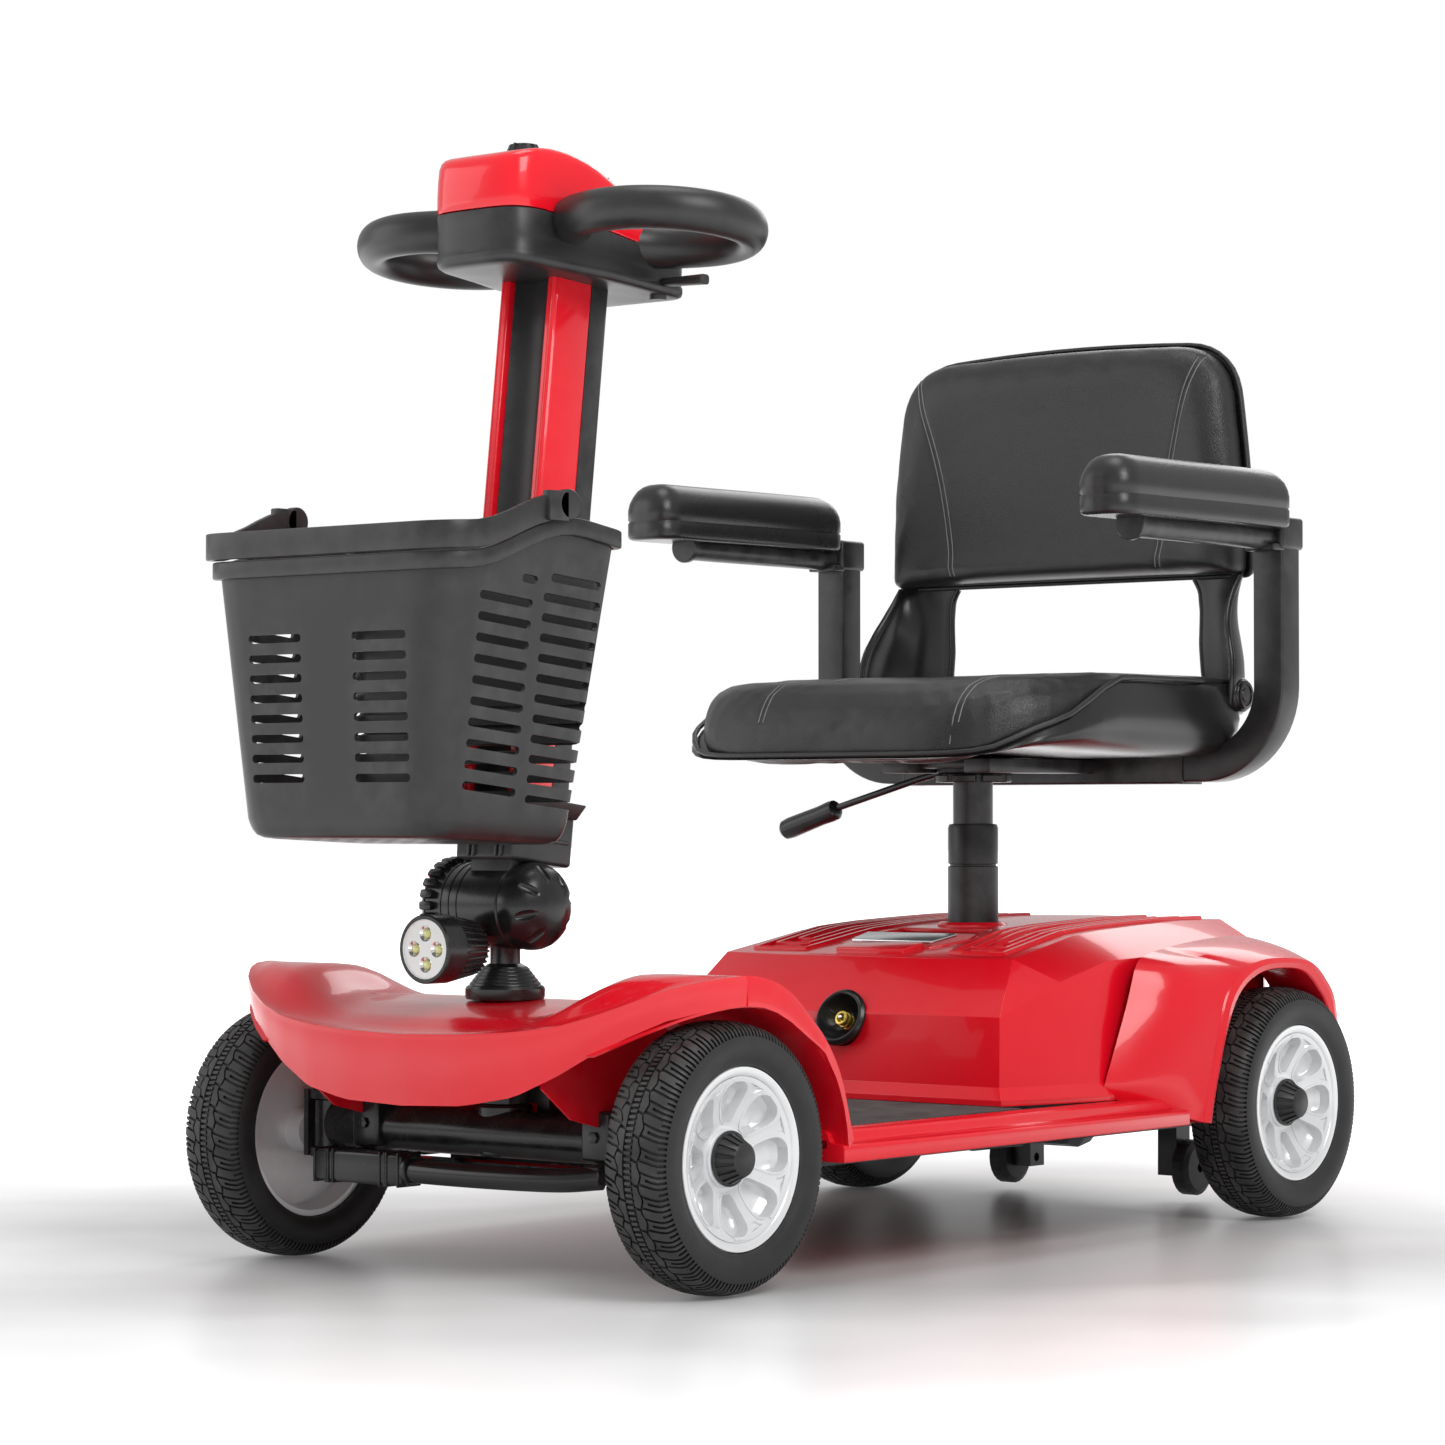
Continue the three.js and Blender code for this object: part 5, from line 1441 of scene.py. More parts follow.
def roundedRing(corners, radii, steps=6, between=10):
    # a closed run through the corners, each rounded, with extra places along the straight parts
    corners = [Vector(c) for c in corners]
    ring = []
    for i, here in enumerate(corners):
        back = corners[i - 1] - here
        ahead = corners[(i + 1) % len(corners)] - here
        radius = min(radii[i], 0.46 * back.length, 0.46 * ahead.length)
        start, end = here + back.normalized() * radius, here + ahead.normalized() * radius
        if ring:
            last = ring[-1]
            ring += [last.lerp(start, n / between) for n in range(1, between)]
        for step in range(steps + 1):
            t = step / steps
            ring.append(start * (1 - t) ** 2 + here * (2 * t * (1 - t)) + end * t * t)
    last = ring[-1]
    ring += [last.lerp(ring[0], n / between) for n in range(1, between)]
    return ring


def rimHeight(y):
    return softTable([(-515, 537), (-480, 538.5), (-460, 544), (-430, 557), (-405, 565.5), (-385, 566.5),
                      (-365, 563), (-337, 558)], y, 9)


def basketRing(share, inset=0.0, lift=0.0):
    # share runs from 0 at the floor to 1 at the rim
    front, back = 99 + 24 * share - inset, 107 + 33 * share - inset
    near, far = -498 - 9 * share + inset, -357 + 20 * share - inset
    ring = roundedRing([(front, near, 0), (back, far, 0), (-back, far, 0), (-front, near, 0)],
                       (30, 14, 14, 30))
    placed = []
    for point in ring:
        floor = lerp([(-507, 333), (-337, 326)], point.y)
        placed.append(Vector((point.x, point.y, floor + (rimHeight(point.y) - floor) * share + lift)))
    return placed


def makeTub():
    outer = [basketRing(0, 12, 0), basketRing(0, 7, 0.6), basketRing(0, 3.4, 2.6), basketRing(0, 1.1, 6.4),
             basketRing(0.03, 0.2, 4.4)]
    outer += [basketRing(s, 0) for s in (0.07, 0.2, 0.4, 0.6, 0.8, 0.94, 0.985)]
    tub = loft("tub", outer)
    inner = [basketRing(0, 12, 3), basketRing(0, 8, 3.4), basketRing(0, 5.0, 5.4), basketRing(0.03, 3.4, 3.6)]
    inner += [basketRing(s, basket["wall"]) for s in (0.07, 0.2, 0.4, 0.6, 0.8, 0.94)]
    inner.append(basketRing(1, basket["wall"], 8))
    carve(tub, loft("tub space", inner))
    cutters = []  # front slots, side slots, then the holes in the floor
    for x in (-53, 53):
        for row in range(basket["slots"]):
            z = 376 + row * basket["slotPitch"]
            cutters.append(block("slot", (x - 27, -530, z - 3.1), (x + 27, -478, z + 3.1), 2.9, 3))
    rows = [(-445, 54, 368 + 15.2 * n) for n in range(10)] + [(-423, 16, 520)]
    rows += [(-379, 58, 358 + basket["slotPitch"] * n) for n in range(12)]
    rows[-1] = (-377, 50, 519.7)
    for y, length, z in rows:
        bar = block("slot", (-170, y - length / 2, z - 3.1), (170, y + length / 2, z + 3.1), 2.9, 3)
        bar.data.transform(turn(-basket["slotTilt"], "X", 0, y, z))
        cutters.append(bar)
    for column in range(9):
        for row in range(6):
            x, y = -80 + column * 20, -474 + row * 19
            cutters.append(block("hole", (x - 6, y - 2.4, 312), (x + 6, y + 2.4, 354), 2.2, 2))
    carve(tub, gather("slots", *cutters))
    return tub


def makeRim():
    path = basketRing(1, 0)
    rings = []
    for i, spot in enumerate(path):
        ahead, behind = path[(i + 1) % len(path)], path[i - 1]
        out = Vector((ahead.y - behind.y, behind.x - ahead.x, 0)).normalized()
        if out.dot(Vector((spot.x, spot.y + 425, 0))) < 0:
            out = -out
        rings.append([spot + out * a + Vector((0, 0, b)) for a, b in
                      ((-3.0, -11), (-3.0, -1), (-2.2, -0.2), (3.8, 0), (4.8, -0.5), (5.2, -1.4),
                       (5.2, -11.8), (4.6, -12.8), (3.6, -13.2), (-0.6, -13.2))])
    return loft("rim", rings, closed=True)


def makeHandle():
    half = []
    ring = [p for p in basketRing(1, -5.4) if p.y < basket["pivotY"] + 2]
    left = sorted([p for p in ring if p.x > 0], key=lambda p: -math.atan2(p.y + 425, p.x))
    start = Vector((left[0].x + 0.6, basket["pivotY"], rimHeight(basket["pivotY"])))
    half = [start] + left
    path = half + [Vector((-p.x, p.y, p.z)) for p in reversed(half)]
    path = [Vector((p.x, p.y, rimHeight(p.y) + 11.4 - 2.2 * ease((p.y + 440) / 42))) for p in path]
    rings = []
    for i, spot in enumerate(path):
        ahead, behind = path[min(i + 1, len(path) - 1)], path[max(i - 1, 0)]
        out = Vector((ahead.y - behind.y, behind.x - ahead.x, 0)).normalized()
        if out.dot(Vector((spot.x, spot.y + 425, 0))) < 0:
            out = -out
        rings.append([spot + out * a + Vector((0, 0, b)) for a, b in boxSection(2.6, 10.0, 1.0, 2)])
    band = loft("band", rings)
    pieces = [band]
    for sign in (1, -1):
        x = sign * start.x
        z = path[0].z
        pieces.append(rod("boss", (x - 4.2, basket["pivotY"], z), (x + 4.2, basket["pivotY"], z), 11.2, 40,
                          1.2))
        pieces.append(block("boss arm", (x - 4.2, basket["pivotY"] - 22, z - 12.6),
                            (x + 4.2, basket["pivotY"] - 1, z + 9.4), 1.2, 2))
        pieces.append(rod("pin", (x - sign * 12, basket["pivotY"], 566),
                          (x - sign * 3, basket["pivotY"], 566), 4.2, 24, 0.6))
    return gather("basket_carry_handle", *pieces)


bracketHook = block("hook", (-16, -342, 500), (16, -311, 524), 2.0, 3)
tub = gather("basket_tub", makeTub(), makeRim(), bracketHook)
smoothShade(tub, 35)
dress(tub, mould, "tiller", "moulded_black", "basket")
handle = makeHandle()
smoothShade(handle, 35)
dress(handle, mould, "basket_bail", "moulded_black", "basket_handle")
print("basket done")


# seat: vinyl cushion swelled by cloth pressure, welt, stitching, dark pan and bolts

seat = {"half": 199.0, "front": 94.0, "back": 434.0, "voxel": 5.0, "pressure": 4.0, "cap": 4.0}
edgeLine = [(94, 400), (110, 404), (131, 419), (152, 427), (176, 436), (196, 449), (211, 456), (225, 463),
            (240, 466), (434, 466)]
crownLine = [(94, 405), (97, 424), (102, 439), (110, 450), (125, 457), (150, 461), (200, 463), (300, 465),
             (400, 466), (434, 466)]


def seatPlan(inset=0.0, steps=10, between=8):
    s = seat
    half, near, far = s["half"] - inset, s["front"] + inset, s["back"] - inset
    return roundedRing([(half, near, 0), (half, far, 0), (-half, far, 0), (-half, near, 0)],
                       (118, 26, 26, 118), steps, between)


def edgeHeight(y):
    return softTable(edgeLine, y, 7)


def crownHeight(x, y):
    # the middle dips a little and the sides fall to the welt
    return softTable(crownLine, y, 5) - 2.5 * math.exp(-(x / 120) ** 2 - ((y - 300) / 90) ** 2)


def seatPad(name, grow=0.0, drop=11.0):
    rings = []
    for inset, share, low in ((6, 0, drop), (2, 0, drop - 3), (0.2, 0, 3.4), (0, 0, 0), (1.4, 0.34, 0),
                              (4.2, 0.60, 0), (9, 0.79, 0), (18, 0.92, 0), (32, 0.985, 0), (52, 1, 0),
                              (80, 1, 0), (120, 1, 0), (165, 1, 0)):
        ring = []
        for point in seatPlan(inset - grow):
            edge = edgeHeight(point.y)
            top = max(crownHeight(point.x, point.y), edge + 0.5)
            ring.append((point.x, point.y, edge + (top - edge) * share - low))
        rings.append(ring)
    return loft(name, rings)


def swell(piece, cap):
    # the pad is remeshed evenly and blown up by cloth pressure, each point kept within the cap
    only(piece)
    piece.data.remesh_voxel_size = seat["voxel"] * mm
    bpy.ops.object.voxel_remesh()
    rest = [v.co.copy() for v in piece.data.vertices]
    cloth = piece.modifiers.new("stuffing", "CLOTH")
    cloth.settings.use_pressure = True
    cloth.settings.uniform_pressure_force = seat["pressure"]
    cloth.settings.effector_weights.gravity = 0
    cloth.settings.quality = 5
    cloth.point_cache.frame_start, cloth.point_cache.frame_end = 1, 20
    for number in range(1, 21):
        bpy.context.scene.frame_set(number)
    graph = bpy.context.evaluated_depsgraph_get()
    grown = [v.co.copy() for v in piece.evaluated_get(graph).data.vertices]
    piece.modifiers.remove(cloth)
    bpy.context.scene.frame_set(1)
    for corner, before, after in zip(piece.data.vertices, rest, grown):
        move = after - before
        if move.length > cap * mm:
            move *= cap * mm / move.length
        corner.co = before + move
    divide(piece)
    return piece


def onTop(piece, x, y, lift=0.0, down=True):
    # drops a place onto the swelled surface
    start = Vector((x, y, 900 if down else 0)) * mm
    hit, spot, normal, face = piece.ray_cast(start, Vector((0, 0, -1 if down else 1)))
    if not hit:
        return None
    return spot / mm + normal * lift


cushion = seatPad("seat_cushion_vinyl", -2.6)
swell(cushion, seat["cap"])
smoothShade(cushion, 60)
# the sewn seams pull narrow valleys into the top
seamLines = (-80.0, 122.0)


def seamX(line, y):
    return line + (1 if line > 0 else -1) * 10 * ease((y - 96) / 160)


for corner in cushion.data.vertices:
    co = corner.co / mm
    if co.z > edgeHeight(co.y) + 3:
        for line in seamLines:
            corner.co.z -= 1.1 * mm * math.exp(-((co.x - seamX(line, co.y)) / 3.2) ** 2)
dress(cushion, vinyl, "seat", "vinyl", "seat_cushion")


def makeSeatTrim():
    # the welt tucks in at the back, where the backrest ears swing past
    welt = tube("welt", [Vector((p.x * (1 - 0.05 * ease((p.y - 355) / 25)), p.y, edgeHeight(p.y) - 0.6))
                         for p in seatPlan(-0.6)],
                roundSection(2.3, count=12), closed=True)
    threads = []
    for line in seamLines:
        for offset in (-2.6, 2.6):
            run = []
            for step in range(64):
                y = 97.5 + step * 5.1
                spot = onTop(cushion, seamX(line, y) + offset, y, 0.15)
                if spot:
                    run.append(spot)
            threads.append(tube("thread", run, roundSection(0.55, count=8)))
    return gather("seat_welt", welt), gather("seat_stitching", *threads)


weltRing, seatStitches = makeSeatTrim()
smoothShade(weltRing, 60)
smoothShade(seatStitches, 60)
dress(weltRing, vinyl, "seat", "vinyl")
dress(seatStitches, finishes["stitch thread"], "seat", "vinyl")


def makePan():
    def low(y):
        return softTable([(94, 396), (130, 402), (160, 404), (200, 403), (300, 400), (380, 399),
                          (434, 404)], y, 12)

    rings = []
    for inset, share in ((52, -0.02), (14, -0.02), (3, 0.0), (1.2, 0.04), (0.6, 0.14), (-1.6, 0.34),
                         (-2.4, 0.5), (-1.2, 0.66), (3, 0.8), (9, 0.9), (18, 0.965), (34, 1.0), (70, 1.0),
                         (120, 1.0)):
        ring = []
        for p in seatPlan(inset):
            edge = edgeHeight(p.y) - 3.0
            ring.append((p.x, p.y, edge + (min(low(p.y), edge - 2) - edge) * share))
        rings.append(ring)
    pan = loft("pan", rings)
    bolts = []
    for sign in (1, -1):
        bolts.append(turned("bolt", [(sign * 196, 0), (sign * 196, 13.5), (sign * 205, 13.5),
                                     (sign * 206.4, 12.4), (sign * 206.6, 9.6), (sign * 205.6, 9.0),
                                     (sign * 205.6, 6.0), (sign * 206.4, 5.4), (sign * 206.6, 0)], 40, "X",
                                     (0, 423, 454)))
    return gather("seat_pan_shell", pan, *bolts)


pan = makePan()
smoothShade(pan, 50)
dress(pan, satin, "seat", "satin_black", "seat_pan")
print("seat done")


# backrest: padded panel, hard back with curved ears

back = {"half": 191.0, "low": 561.0, "high": 763.5, "taper": 14.0, "cornerRadius": 50.0}


def backOutline(inset, y):
    b = back
    lowInset = inset * 0.45
    half, top, low = b["half"] - inset, b["high"] - inset, b["low"] + lowInset
    ring = roundedRing([(half, 0, low), (half - b["taper"], 0, top), (b["taper"] - half, 0, top),
                        (-half, 0, low)],
                       (7, b["cornerRadius"], b["cornerRadius"], 7), 8, 9)
    placed = []
    for p in ring:
        share = max(0.0, (p.z - low) / (top - low))
        arch = 9.5 * share ** 3 * (1 - (p.x / b["half"]) ** 2)
        belly = 3.0 * math.sin(math.pi * min(1.0, share * 1.3)) * p.x / b["half"]
        placed.append((p.x + belly, y, p.z + arch))
    return placed


def makeBackPad():
    rings = []
    for inset, y in ((40, 457), (8, 457), (2.4, 456.6), (0.4, 454.6), (0, 451), (0.2, 443), (1.4, 437),
                     (4.4, 431.6), (9, 428.0), (15, 426.0), (23, 425.2), (33, 425.8), (46, 427.8),
                     (60, 429.6), (80, 430.6), (100, 431)):
        rings.append(backOutline(inset, y))
    return loft("backrest_cushion_vinyl", rings)


backPad = makeBackPad()
swell(backPad, 3.0)


def backSeam(side, z):
    share = (z - 566) / 200
    return side * (112 + 46 * share - 8 * math.sin(math.pi * max(0.0, min(1.0, share))))


for corner in backPad.data.vertices:
    co = corner.co / mm
    if co.y < 440:
        for side in (1, -1):
            corner.co.y += 1.1 * mm * math.exp(-((co.x - backSeam(side, co.z)) / 3.0) ** 2)
smoothShade(backPad, 60)
dress(backPad, vinyl, "backrest", "vinyl", "backrest_cushion")


def makeBackTrim():
    threads = []
    for side in (1, -1):
        for offset in (-2.4, 2.4):
            run = []
            for step in range(44):
                z = 570 + step * 4.5
                hit, spot, normal, face = backPad.ray_cast(Vector((backSeam(side, z) + offset, 300, z))
                        * mm, Vector((0, 1, 0)))
                if hit:
                    run.append(spot / mm + normal * 0.15)
            threads.append(tube("thread", run, roundSection(0.55, count=8), up=(0, 1, 0)))
    welt = tube("welt", [Vector(p) for p in backOutline(-0.5, 456.4)], roundSection(2.0, count=12),
                up=(0, 1, 0), closed=True)
    return gather("backrest_welt", welt), gather("backrest_stitching", *threads)


backWelt, backStitches = makeBackTrim()
smoothShade(backWelt, 60)
smoothShade(backStitches, 60)
dress(backWelt, vinyl, "backrest", "vinyl")
dress(backStitches, finishes["stitch thread"], "backrest", "vinyl")


def makeEar(sign):
    outer = [(440, 196), (455, 201), (470, 203), (485, 202), (500, 198.5), (515, 193), (530, 188.5),
             (545, 186), (560, 185.5), (600, 184)]
    reach = [(440, 412), (455, 406), (470, 405), (500, 408), (520, 416), (540, 430), (556, 443), (566, 451),
             (600, 459)]
    inner = [(440, 150), (455, 143), (475, 139), (500, 137), (530, 138), (550, 136), (566, 126), (574, 112),
             (600, 112)]
    rows = []
    for row in range(34):
        z = 440 + row * 4.6
        xOut, yOut, xIn = softTable(outer, z, 5), softTable(reach, z, 6), softTable(inner, z, 4)
        yIn = 461.0
        line = []
        for step in range(15):
            a = math.pi / 2 * step / 14
            line.append(Vector((sign * (xIn + (xOut - xIn) * math.sin(a) ** 0.9),
                                yOut + (yIn - yOut) * math.cos(a) ** 0.9 if step < 14 else yOut, z)))
        rows.append(line)
    ear = sheet("ear", rows)
    thicken(ear, 4.2, 0)
    soften(ear, 0.8, 2, 40)
    rim = [line[-1] for line in reversed(rows[:27])] + [p for p in rows[0][1:-1][::-1]] + [line[0]
            for line in rows[:27]]
    bead = tube("ear bead", rim, roundSection(2.9, count=12), up=(0, 0.2, 1))
    return [ear, bead]


def makeBackShell():
    rings = [backOutline(i, y) for i, y in ((40, 458.4), (6, 458.4), (0.6, 458.6), (-0.9, 459.6),
                                            (-0.9, 461.4), (0.8, 463.6), (4, 465.2), (10, 466), (40, 466),
                                            (90, 466))]
    panel = loft("back panel", rings)
    pieces = [panel] + makeEar(1) + makeEar(-1)
    for sign in (1, -1):
        pieces.append(turned("pivot boss", [(sign * 197.5, 0), (sign * 197.5, 15), (sign * 203, 15),
                                            (sign * 204, 14), (sign * 204, 0)], 40, "X", (0, 423, 454)))
    shell = gather("backrest_hard_shell", *pieces)
    smoothShade(shell, 45)
    return shell


dress(makeBackShell(), satin, "backrest", "satin_black", "backrest_shell")
print("backrest done")


# arms: bent square tubes, round rest tubes with capped brackets, moulded pads

arm = {"x": 239.0, "y": 420.0, "bend": 68.0, "half": 14.8, "low": 393.0}


def makeArmFrame(sign):
    a = arm
    path = [(sign * a["x"], a["y"], 597)]
    path += [(sign * a["x"], a["y"], z) for z in (560, 520, 480)]
    centre = (a["x"] - a["bend"], a["low"] + a["bend"])
    for step in range(17):
        angle = math.radians(-90 * step / 16)
        path.append((sign * (centre[0] + a["bend"] * math.cos(angle)), a["y"],
                     centre[1] + a["bend"] * math.sin(angle)))
    path += [(sign * x, a["y"], a["low"]) for x in (166, 140, 62)]
    frameTube = tube("arm tube", path, boxSection(a["half"], a["half"], 2.4, 3), up=(0, 1, 0))
    stop = block("stop", (sign * 151 - 1.4, 403.4, 376.4), (sign * 151 + 1.4, 436.6, 409.6), 0.8, 2)
    piece = gather("arm_frame_" + ("left" if sign > 0 else "right") + "_tube", frameTube, stop)
    smoothShade(piece, 30)
    return piece


def makeRestTube(sign):
    x = sign * arm["x"]
    bar = turned("rest bar", [(192, 0), (192, 8), (193, 10.4), (408, 10.4), (408, 0)], 40, "Y", (x, 0, 589))
    end = turned("rest end", [(190, 0), (190, 13.2), (191, 14), (195, 14), (196, 13.2), (196, 0)], 40, "Y",
                 (x, 0, 590))
    cap = block("cap", (x - 17, 402.6, 579), (x + 17, 438.6, 607), 3.4, 4)
    lip = block("cap lip", (x - 15, 392, 577.4), (x + 15, 410, 583.6), 1.6, 3)
    rib = block("pad rail", (x - 7, 200, 594), (x + 7, 392, 600), 1)
    bars = gather("arm_rest_tube_" + ("left" if sign > 0 else "right"), bar, end, cap, lip, rib)
    smoothShade(bars, 32)
    return bars


def makeArmPad(sign):
    def ring(inset, z):
        near, far = 138 + inset, 400 - inset
        low, high = 216 + inset, 270 - inset
        points = roundedRing([(high, near, z), (high, far, z), (low, far, z), (low, near, z)],
                             (22, 14, 14, 22), 7, 7)
        return [(sign * p.x, p.y, p.z + 1.2 * ease((p.y - 150) / 200)) for p in points]

    rings = [ring(i, z) for i, z in ((18, 594.4), (6, 594.2), (2.4, 594.6), (0.6, 596), (0, 598.4),
                                     (0, 609.4), (0.7, 610.4), (0.7, 611.2), (0, 612.2), (0, 621),
                                     (0.9, 627), (3.0, 633), (6.6, 638.4), (11, 642), (16, 644), (21, 644.8))]
    pad = loft("arm_pad_" + ("left" if sign > 0 else "right") + "_foam", rings)
    smoothShade(pad, 50)
    return pad


for sign, side, letter in ((1, "left", "l"), (-1, "right", "r")):
    dress(makeArmFrame(sign), powder, "arm_" + letter, "satin_black", "arm_frame_" + side)
    dress(makeRestTube(sign), powder, "pad_" + letter, "satin_black", "arm_tube_" + side)
    dress(makeArmPad(sign), finishes["arm pad skin"], "pad_" + letter, "vinyl", "arm_pad_" + side)
print("arms done")


# seat carrier, post and lever

def makeCarrier():
    pieces = [tube("cross tube", [(x, 420, 393) for x in (-150, 0, 150)], boxSection(16.4, 16.4, 2.2, 3),
                   up=(0, 1, 0))]
    for x in (-44, 44):
        pieces.append(block("seat bar", (x - 14, 246, 386), (x + 14, 408, 398.4), 1.6, 2))
    pieces.append(turned("swivel head", [(385.2, 0), (385.2, 30), (387, 32), (396, 32), (398.4, 30),
                                         (398.4, 0)], 56, "Z", (0, 302, 0)))
    pieces.append(block("swivel plate", (-56, 262, 390), (56, 344, 398.4), 3, 2))
    return gather("seat_carrier", *pieces)


def makePost():
    inner = turned("post", [(190, 0), (190, 16.4), (191.4, 17.5), (379, 17.5), (379, 0)], 64, "Z",
                   (0, 302, 0))
    flange = turned("flange", [(378, 0), (378, 33), (379, 34), (383.6, 34), (384.6, 33), (384.6, 0)], 96,
                    "Z", (0, 302, 0))
    notches = []
    for number in range(8):
        angle = math.tau * number / 8
        x, y = 34 * math.cos(angle), 302 + 34 * math.sin(angle)
        notches.append(rod("notch", (x, y, 370), (x, y, 392), 3.6, 20))
    carve(flange, gather("notches", *notches))
    return gather("seat_post_tube", inner, flange)


def makeLever():
    shaft = tube("lever rod", curvePoints([(-34, 302, 387), (-60, 302, 381), (-100, 302, 370),
                                           (-150, 302, 356), (-166, 302, 351)], 5),
                                           roundSection(3.2, count=16), up=(0, 1, 0))
    start, end = Vector((-150, 302, 355)), Vector((-214, 302, 334.6))
    along = (end - start).normalized()
    grip = []
    profile = ((0, 3.6), (1, 7.2), (3, 9.0), (8, 9.5), (20, 8.9), (36, 9.2), (56, 9.6), (63, 8.8),
               (66.4, 5.6))
    for distance, radius in profile:
        grip.append([start + along * distance + Vector((0, 1, 0)) * (radius * math.cos(math.tau * n / 28))
                     + along.cross(Vector((0, 1, 0))) * (radius * math.sin(math.tau * n / 28))
                     for n in range(28)])
    return gather("seat_lever_arm", shaft, loft("grip", grip))


for piece, look, body, slot, instead in ((makeCarrier(), powder, "seat", "satin_black", "seat_cross_tube"),
                                         (makePost(), powder, "post", "satin_black", "seat_post_inner"),
                                       (makeLever(), satin, "height_lever", "satin_black", "seat_lever")):
    smoothShade(piece, 35)
    dress(piece, look, body, slot, instead)
sleeve = turned("seat_socket_sleeve", [(128, 18.2), (128, 22.3), (304, 22.3), (304.6, 20.4), (306, 20.4),
                                       (306.6, 22), (338, 22), (341, 21), (341.6, 18.2)], 64, "Z",
                                       (0, 302, 0))
smoothShade(sleeve, 30)
dress(sleeve, powder, "chassis", "satin_black", "seat_socket_tube")
print("seat carrier done")


# front axle, lower bar, charge socket and the parts kept as they are

def makeAxle():
    beam = turned("axle tube", [(-168, 0), (-168, 16), (-166, 18), (166, 18), (168, 16), (168, 0)], 56, "X",
                  (0, -320, 107))
    pieces = [beam, turned("column boss", [(90, 12.4), (90, 20), (92, 22), (127, 22), (129, 20),
                                           (129, 12.4)], 48, "Z", (0, -310, 0))]
    for side in (1, -1):
        pieces.append(turned("king pin boss", [(88, 7), (88, 12), (89, 13), (125, 13), (126, 12), (126, 7)],
                             36, "Z", (side * 176, -320, 0)))
        pieces.append(block("clamp", (side * 118 - 14, -342, 92), (side * 118 + 14, -298, 130.4), 3.2, 3))
        pieces.append(rod("clamp bolt", (side * 118, -344.6, 111), (side * 118, -340, 111), 4.6, 6, 0.5))
    return gather("front_axle_tube", *pieces)


def makeLowerBar():
    path = curvePoints([(-128, -345, 82), (-90, -357, 79), (0, -360, 78), (90, -357, 79), (128, -345, 82)], 8)
    pieces = [tube("lower tube", path, roundSection(9, count=28))]
    sleeve = block("sleeve", (-146, -370.6, 67), (-52, -346.6, 91.4), 3.0, 4)
    pieces.append(sleeve)
    for x in (-143.6, -131, -129, -124, -74, -69, -67, -55):
        pieces.append(block("sleeve rib", (x - 1.2, -371.6, 66), (x + 1.2, -345.6, 92.4), 1.0, 2))
    pieces.append(turned("sleeve lip", [(-53, 0), (-53, 12.4), (-49.6, 12.4), (-48.6, 11.2), (-48.6, 0)],
                         36, "X", (0, -358.6, 79)))
    for side in (1, -1):
        pieces.append(block("hanger", (side * 122 - 8, -352, 76), (side * 122 + 8, -332, 91.2), 2.4, 3))
    return gather("front_lower_bar", *pieces)


def makeChargeSocket():
    facing = Matrix.Translation(socketAt * mm) @ Matrix.Rotation(math.radians(-22), 4, "X")
    cup = turned("socket cup", [(-3.4, 23.6), (-4.4, 22.8), (-4.8, 21.6), (-4.2, 20.2), (-1.6, 19.2),
                                (2, 17.6), (7, 14), (11, 9.4), (12.4, 7), (12.4, 0),
                                (15, 0), (15, 12), (6, 21.8), (1.0, 22.0), (0.6, 24.8), (-2.0, 24.8)], 64,
                                "Y")
    for number in range(3):
        angle = math.tau * (number / 3 + 0.1)
        cup = gather("socket", cup, rod("slot rib", (13 * math.cos(angle), 7.5, 13 * math.sin(angle)),
                                        (18 * math.cos(angle), 2.4, 18 * math.sin(angle)), 1.2, 10, 0.3))
    core = turned("socket_brass_core", [(13, 0), (13, 6.6), (9.4, 6.6), (9, 5.6), (7.6, 5.6), (7.2, 6.6),
                                        (4.4, 6.6), (4, 5.4), (2.6, 5.4), (2.2, 6.2),
                                        (-0.4, 6.2), (-0.8, 5.6), (-0.8, 4.2), (2.6, 4.0), (2.6, 0)], 40, "Y")
    pin = turned("socket_pin", [(4, 0), (4, 2.0), (-2.6, 2.0), (-3.4, 1.2), (-3.4, 0)], 24, "Y")
    for piece in (cup, core, pin):
        piece.data.transform(facing)
        smoothShade(piece, 34)
    cup.name = cup.data.name = "charge_socket_cup"
    return cup, core, pin


axle, lowerBar = makeAxle(), makeLowerBar()
smoothShade(axle, 32)
smoothShade(lowerBar, 32)
dress(axle, satin, "chassis", "black_frame", "front_axle_beam")
dress(lowerBar, satin, "chassis", "black_frame", "front_bumper_bar")
socketCup, socketCore, socketPin = makeChargeSocket()
dress(socketCup, satin, "chassis", "satin_black", "charge_socket")
dress(socketCore, brass, "chassis", "steel")
dress(socketPin, steel, "chassis", "steel")

keptParts = {"main_frame": powder, "transaxle": casing, "drive_motor": casing, "battery_pack": mould,
             "controller_box": casing,
             "knuckle_left": powder, "knuckle_right": powder, "track_rod": steel, "freewheel_lever": red,
             "anti_tip_wheel_left": rubber, "anti_tip_wheel_right": rubber}
for name, look in keptParts.items():
    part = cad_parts[name]
    part.data.materials.clear()
    part.data.materials.append(look)
print("under parts done")


# studio

camera = {"azimuth": 39.19, "lookUp": 1.318, "lens": 100.97, "spot": (2.0866, -2.6067, 0.3487)}


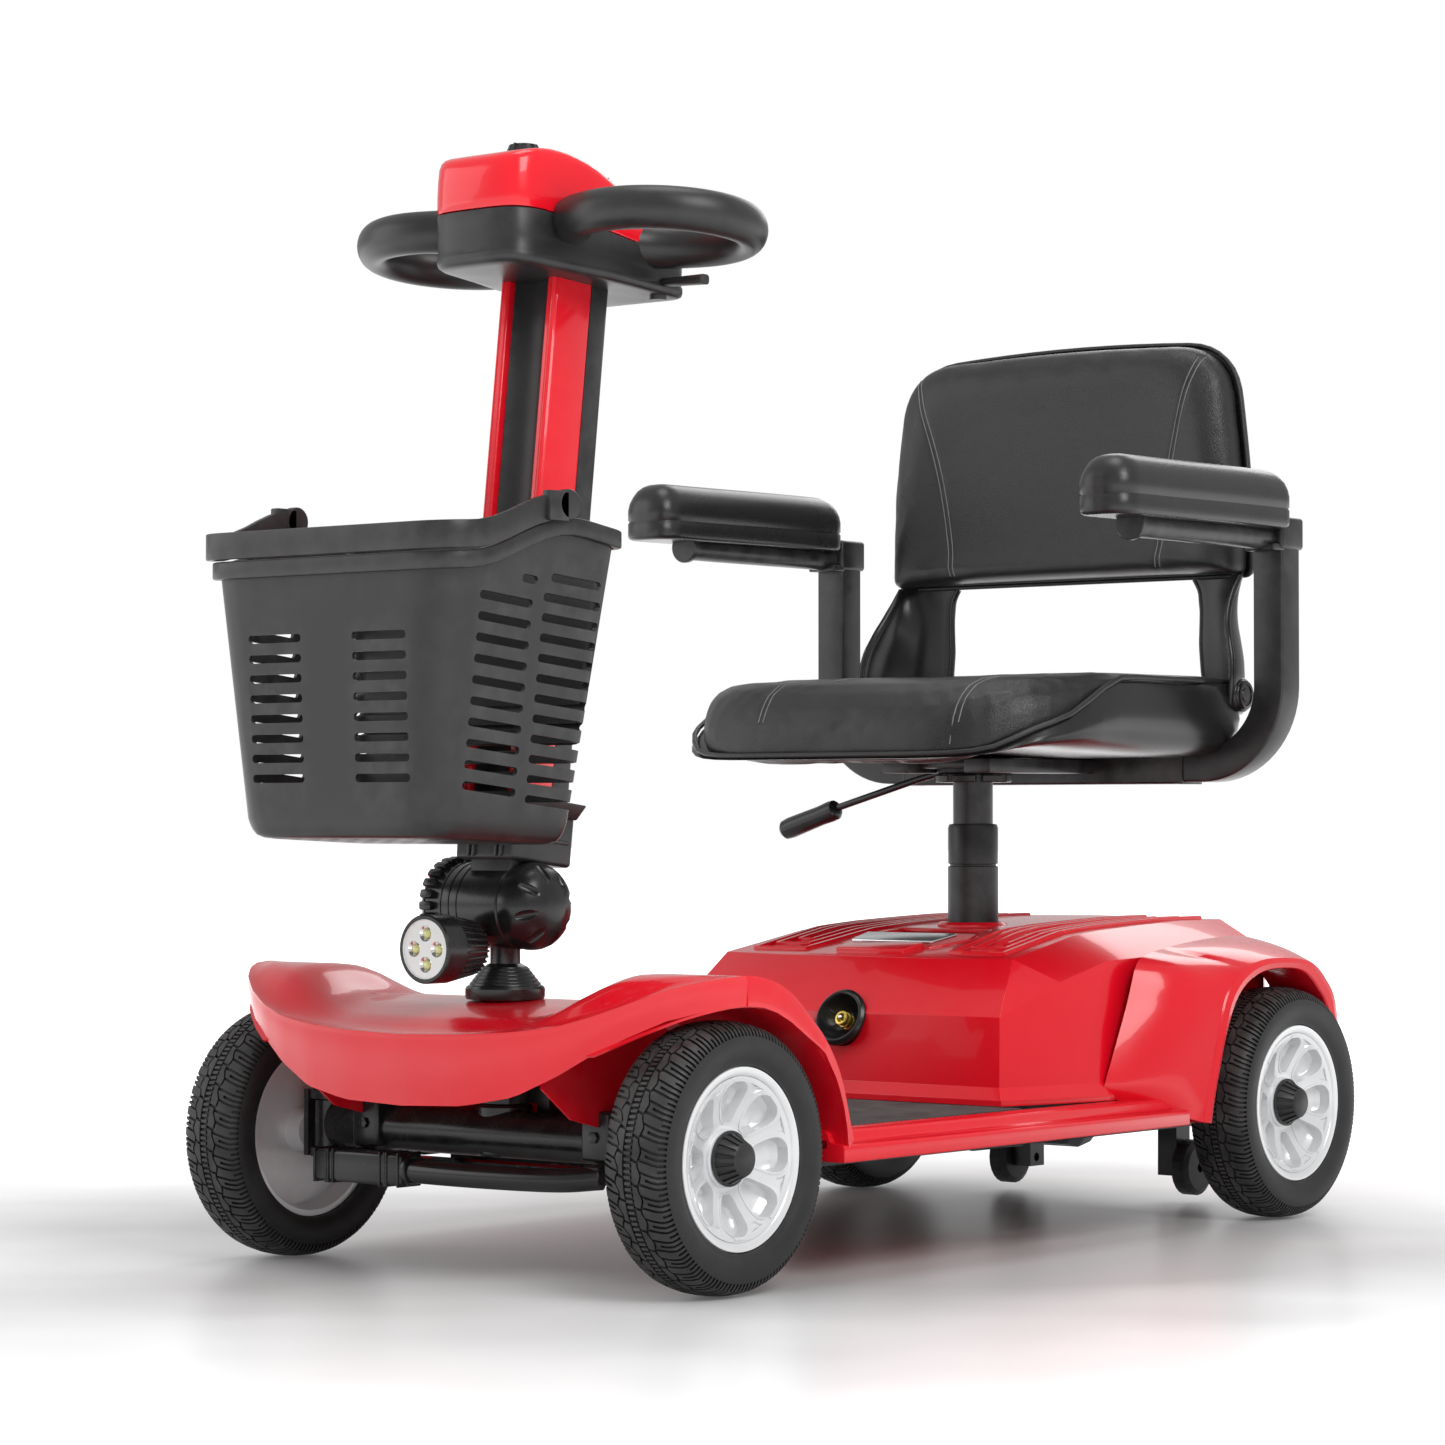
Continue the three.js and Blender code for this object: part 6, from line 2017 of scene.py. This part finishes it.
def makeStudio():
    bpy.ops.object.select_all(action="DESELECT")
    bpy.ops.object.camera_add(location=camera["spot"],
                              rotation=(math.radians(90 + camera["lookUp"]), 0,
                                        math.radians(camera["azimuth"])))
    view = bpy.context.object
    view.name = "camera"
    view.data.lens = camera["lens"]
    view.data.sensor_width = 36.0
    bpy.context.scene.camera = view
    bpy.ops.mesh.primitive_plane_add(size=60, location=(0, 0, 0))
    floor = fresh("studio_floor")
    paint = bpy.data.materials.new("floor with painted shadow")
    paint.use_nodes = True
    tree = paint.node_tree
    shader = tree.nodes["Principled BSDF"]
    where = node(tree, "TexCoord").outputs["Object"]
    # painted shadow: grey under the scooter, fading out to the white of the room, where the floor also glows
    # white
    reach = node(tree, "VectorMath", operation="LENGTH")
    tree.links.new(where, reach.inputs[0])
    paintedShadowFade = spread(tree, calc(tree, "ADD", reach.outputs["Value"], noiseAt(tree, where, 1.5, 3.0)), 0.9, 2.3)
    tree.links.new(blendColour(tree, paintedShadowFade, (0.60, 0.60, 0.60, 1), (0.9, 0.9, 0.9, 1)),
                   shader.inputs["Base Color"])
    shader.inputs["Emission Color"].default_value = (1.0, 1.0, 1.0, 1.0)
    # the floor glows white where the painted shadow has faded out
    tree.links.new(paintedShadowFade, shader.inputs["Emission Strength"])
    shader.inputs["Roughness"].default_value = 0.3
    floor.data.materials.append(paint)
    floor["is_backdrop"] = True
    bpy.context.scene.view_settings.view_transform = "Standard"
    world = bpy.data.worlds.new("studio")
    bpy.context.scene.world = world
    world.use_nodes = True
    # white to the eye, softer as a light so that the dark parts keep their depth
    backdrop = world.node_tree.nodes["Background"]
    backdrop.inputs["Color"].default_value = (1.0, 1.0, 1.0, 1.0)
    seen = node(world.node_tree, "LightPath")
    level = spread(world.node_tree, seen.outputs["Is Camera Ray"], 0.0, 1.0, 0.62, 1.0)
    world.node_tree.links.new(level, backdrop.inputs["Strength"])
    lamps = {"key": ((2.2, -0.9, 2.2), 1.4, 44.0), "fill": ((-2.4, -1.8, 1.4), 1.8, 16.0),
             "back": ((-0.8, 2.6, 2.2), 1.6, 20.0),
             "top": ((0.0, -0.1, 2.9), 1.2, 16.0)}
    for name, (spot, size, power) in lamps.items():
        aim = Vector((0, 0, 0.4)) - Vector(spot)
        bpy.ops.object.light_add(type="AREA", location=spot, rotation=aim.to_track_quat("-Z", "Y").to_euler())
        lamp = bpy.context.object
        lamp.name = "lamp " + name
        lamp.data.size = size
        lamp.data.energy = power


makeStudio()
print("studio set")

{"cad": plain(cadBox), "visual": plain(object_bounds())}
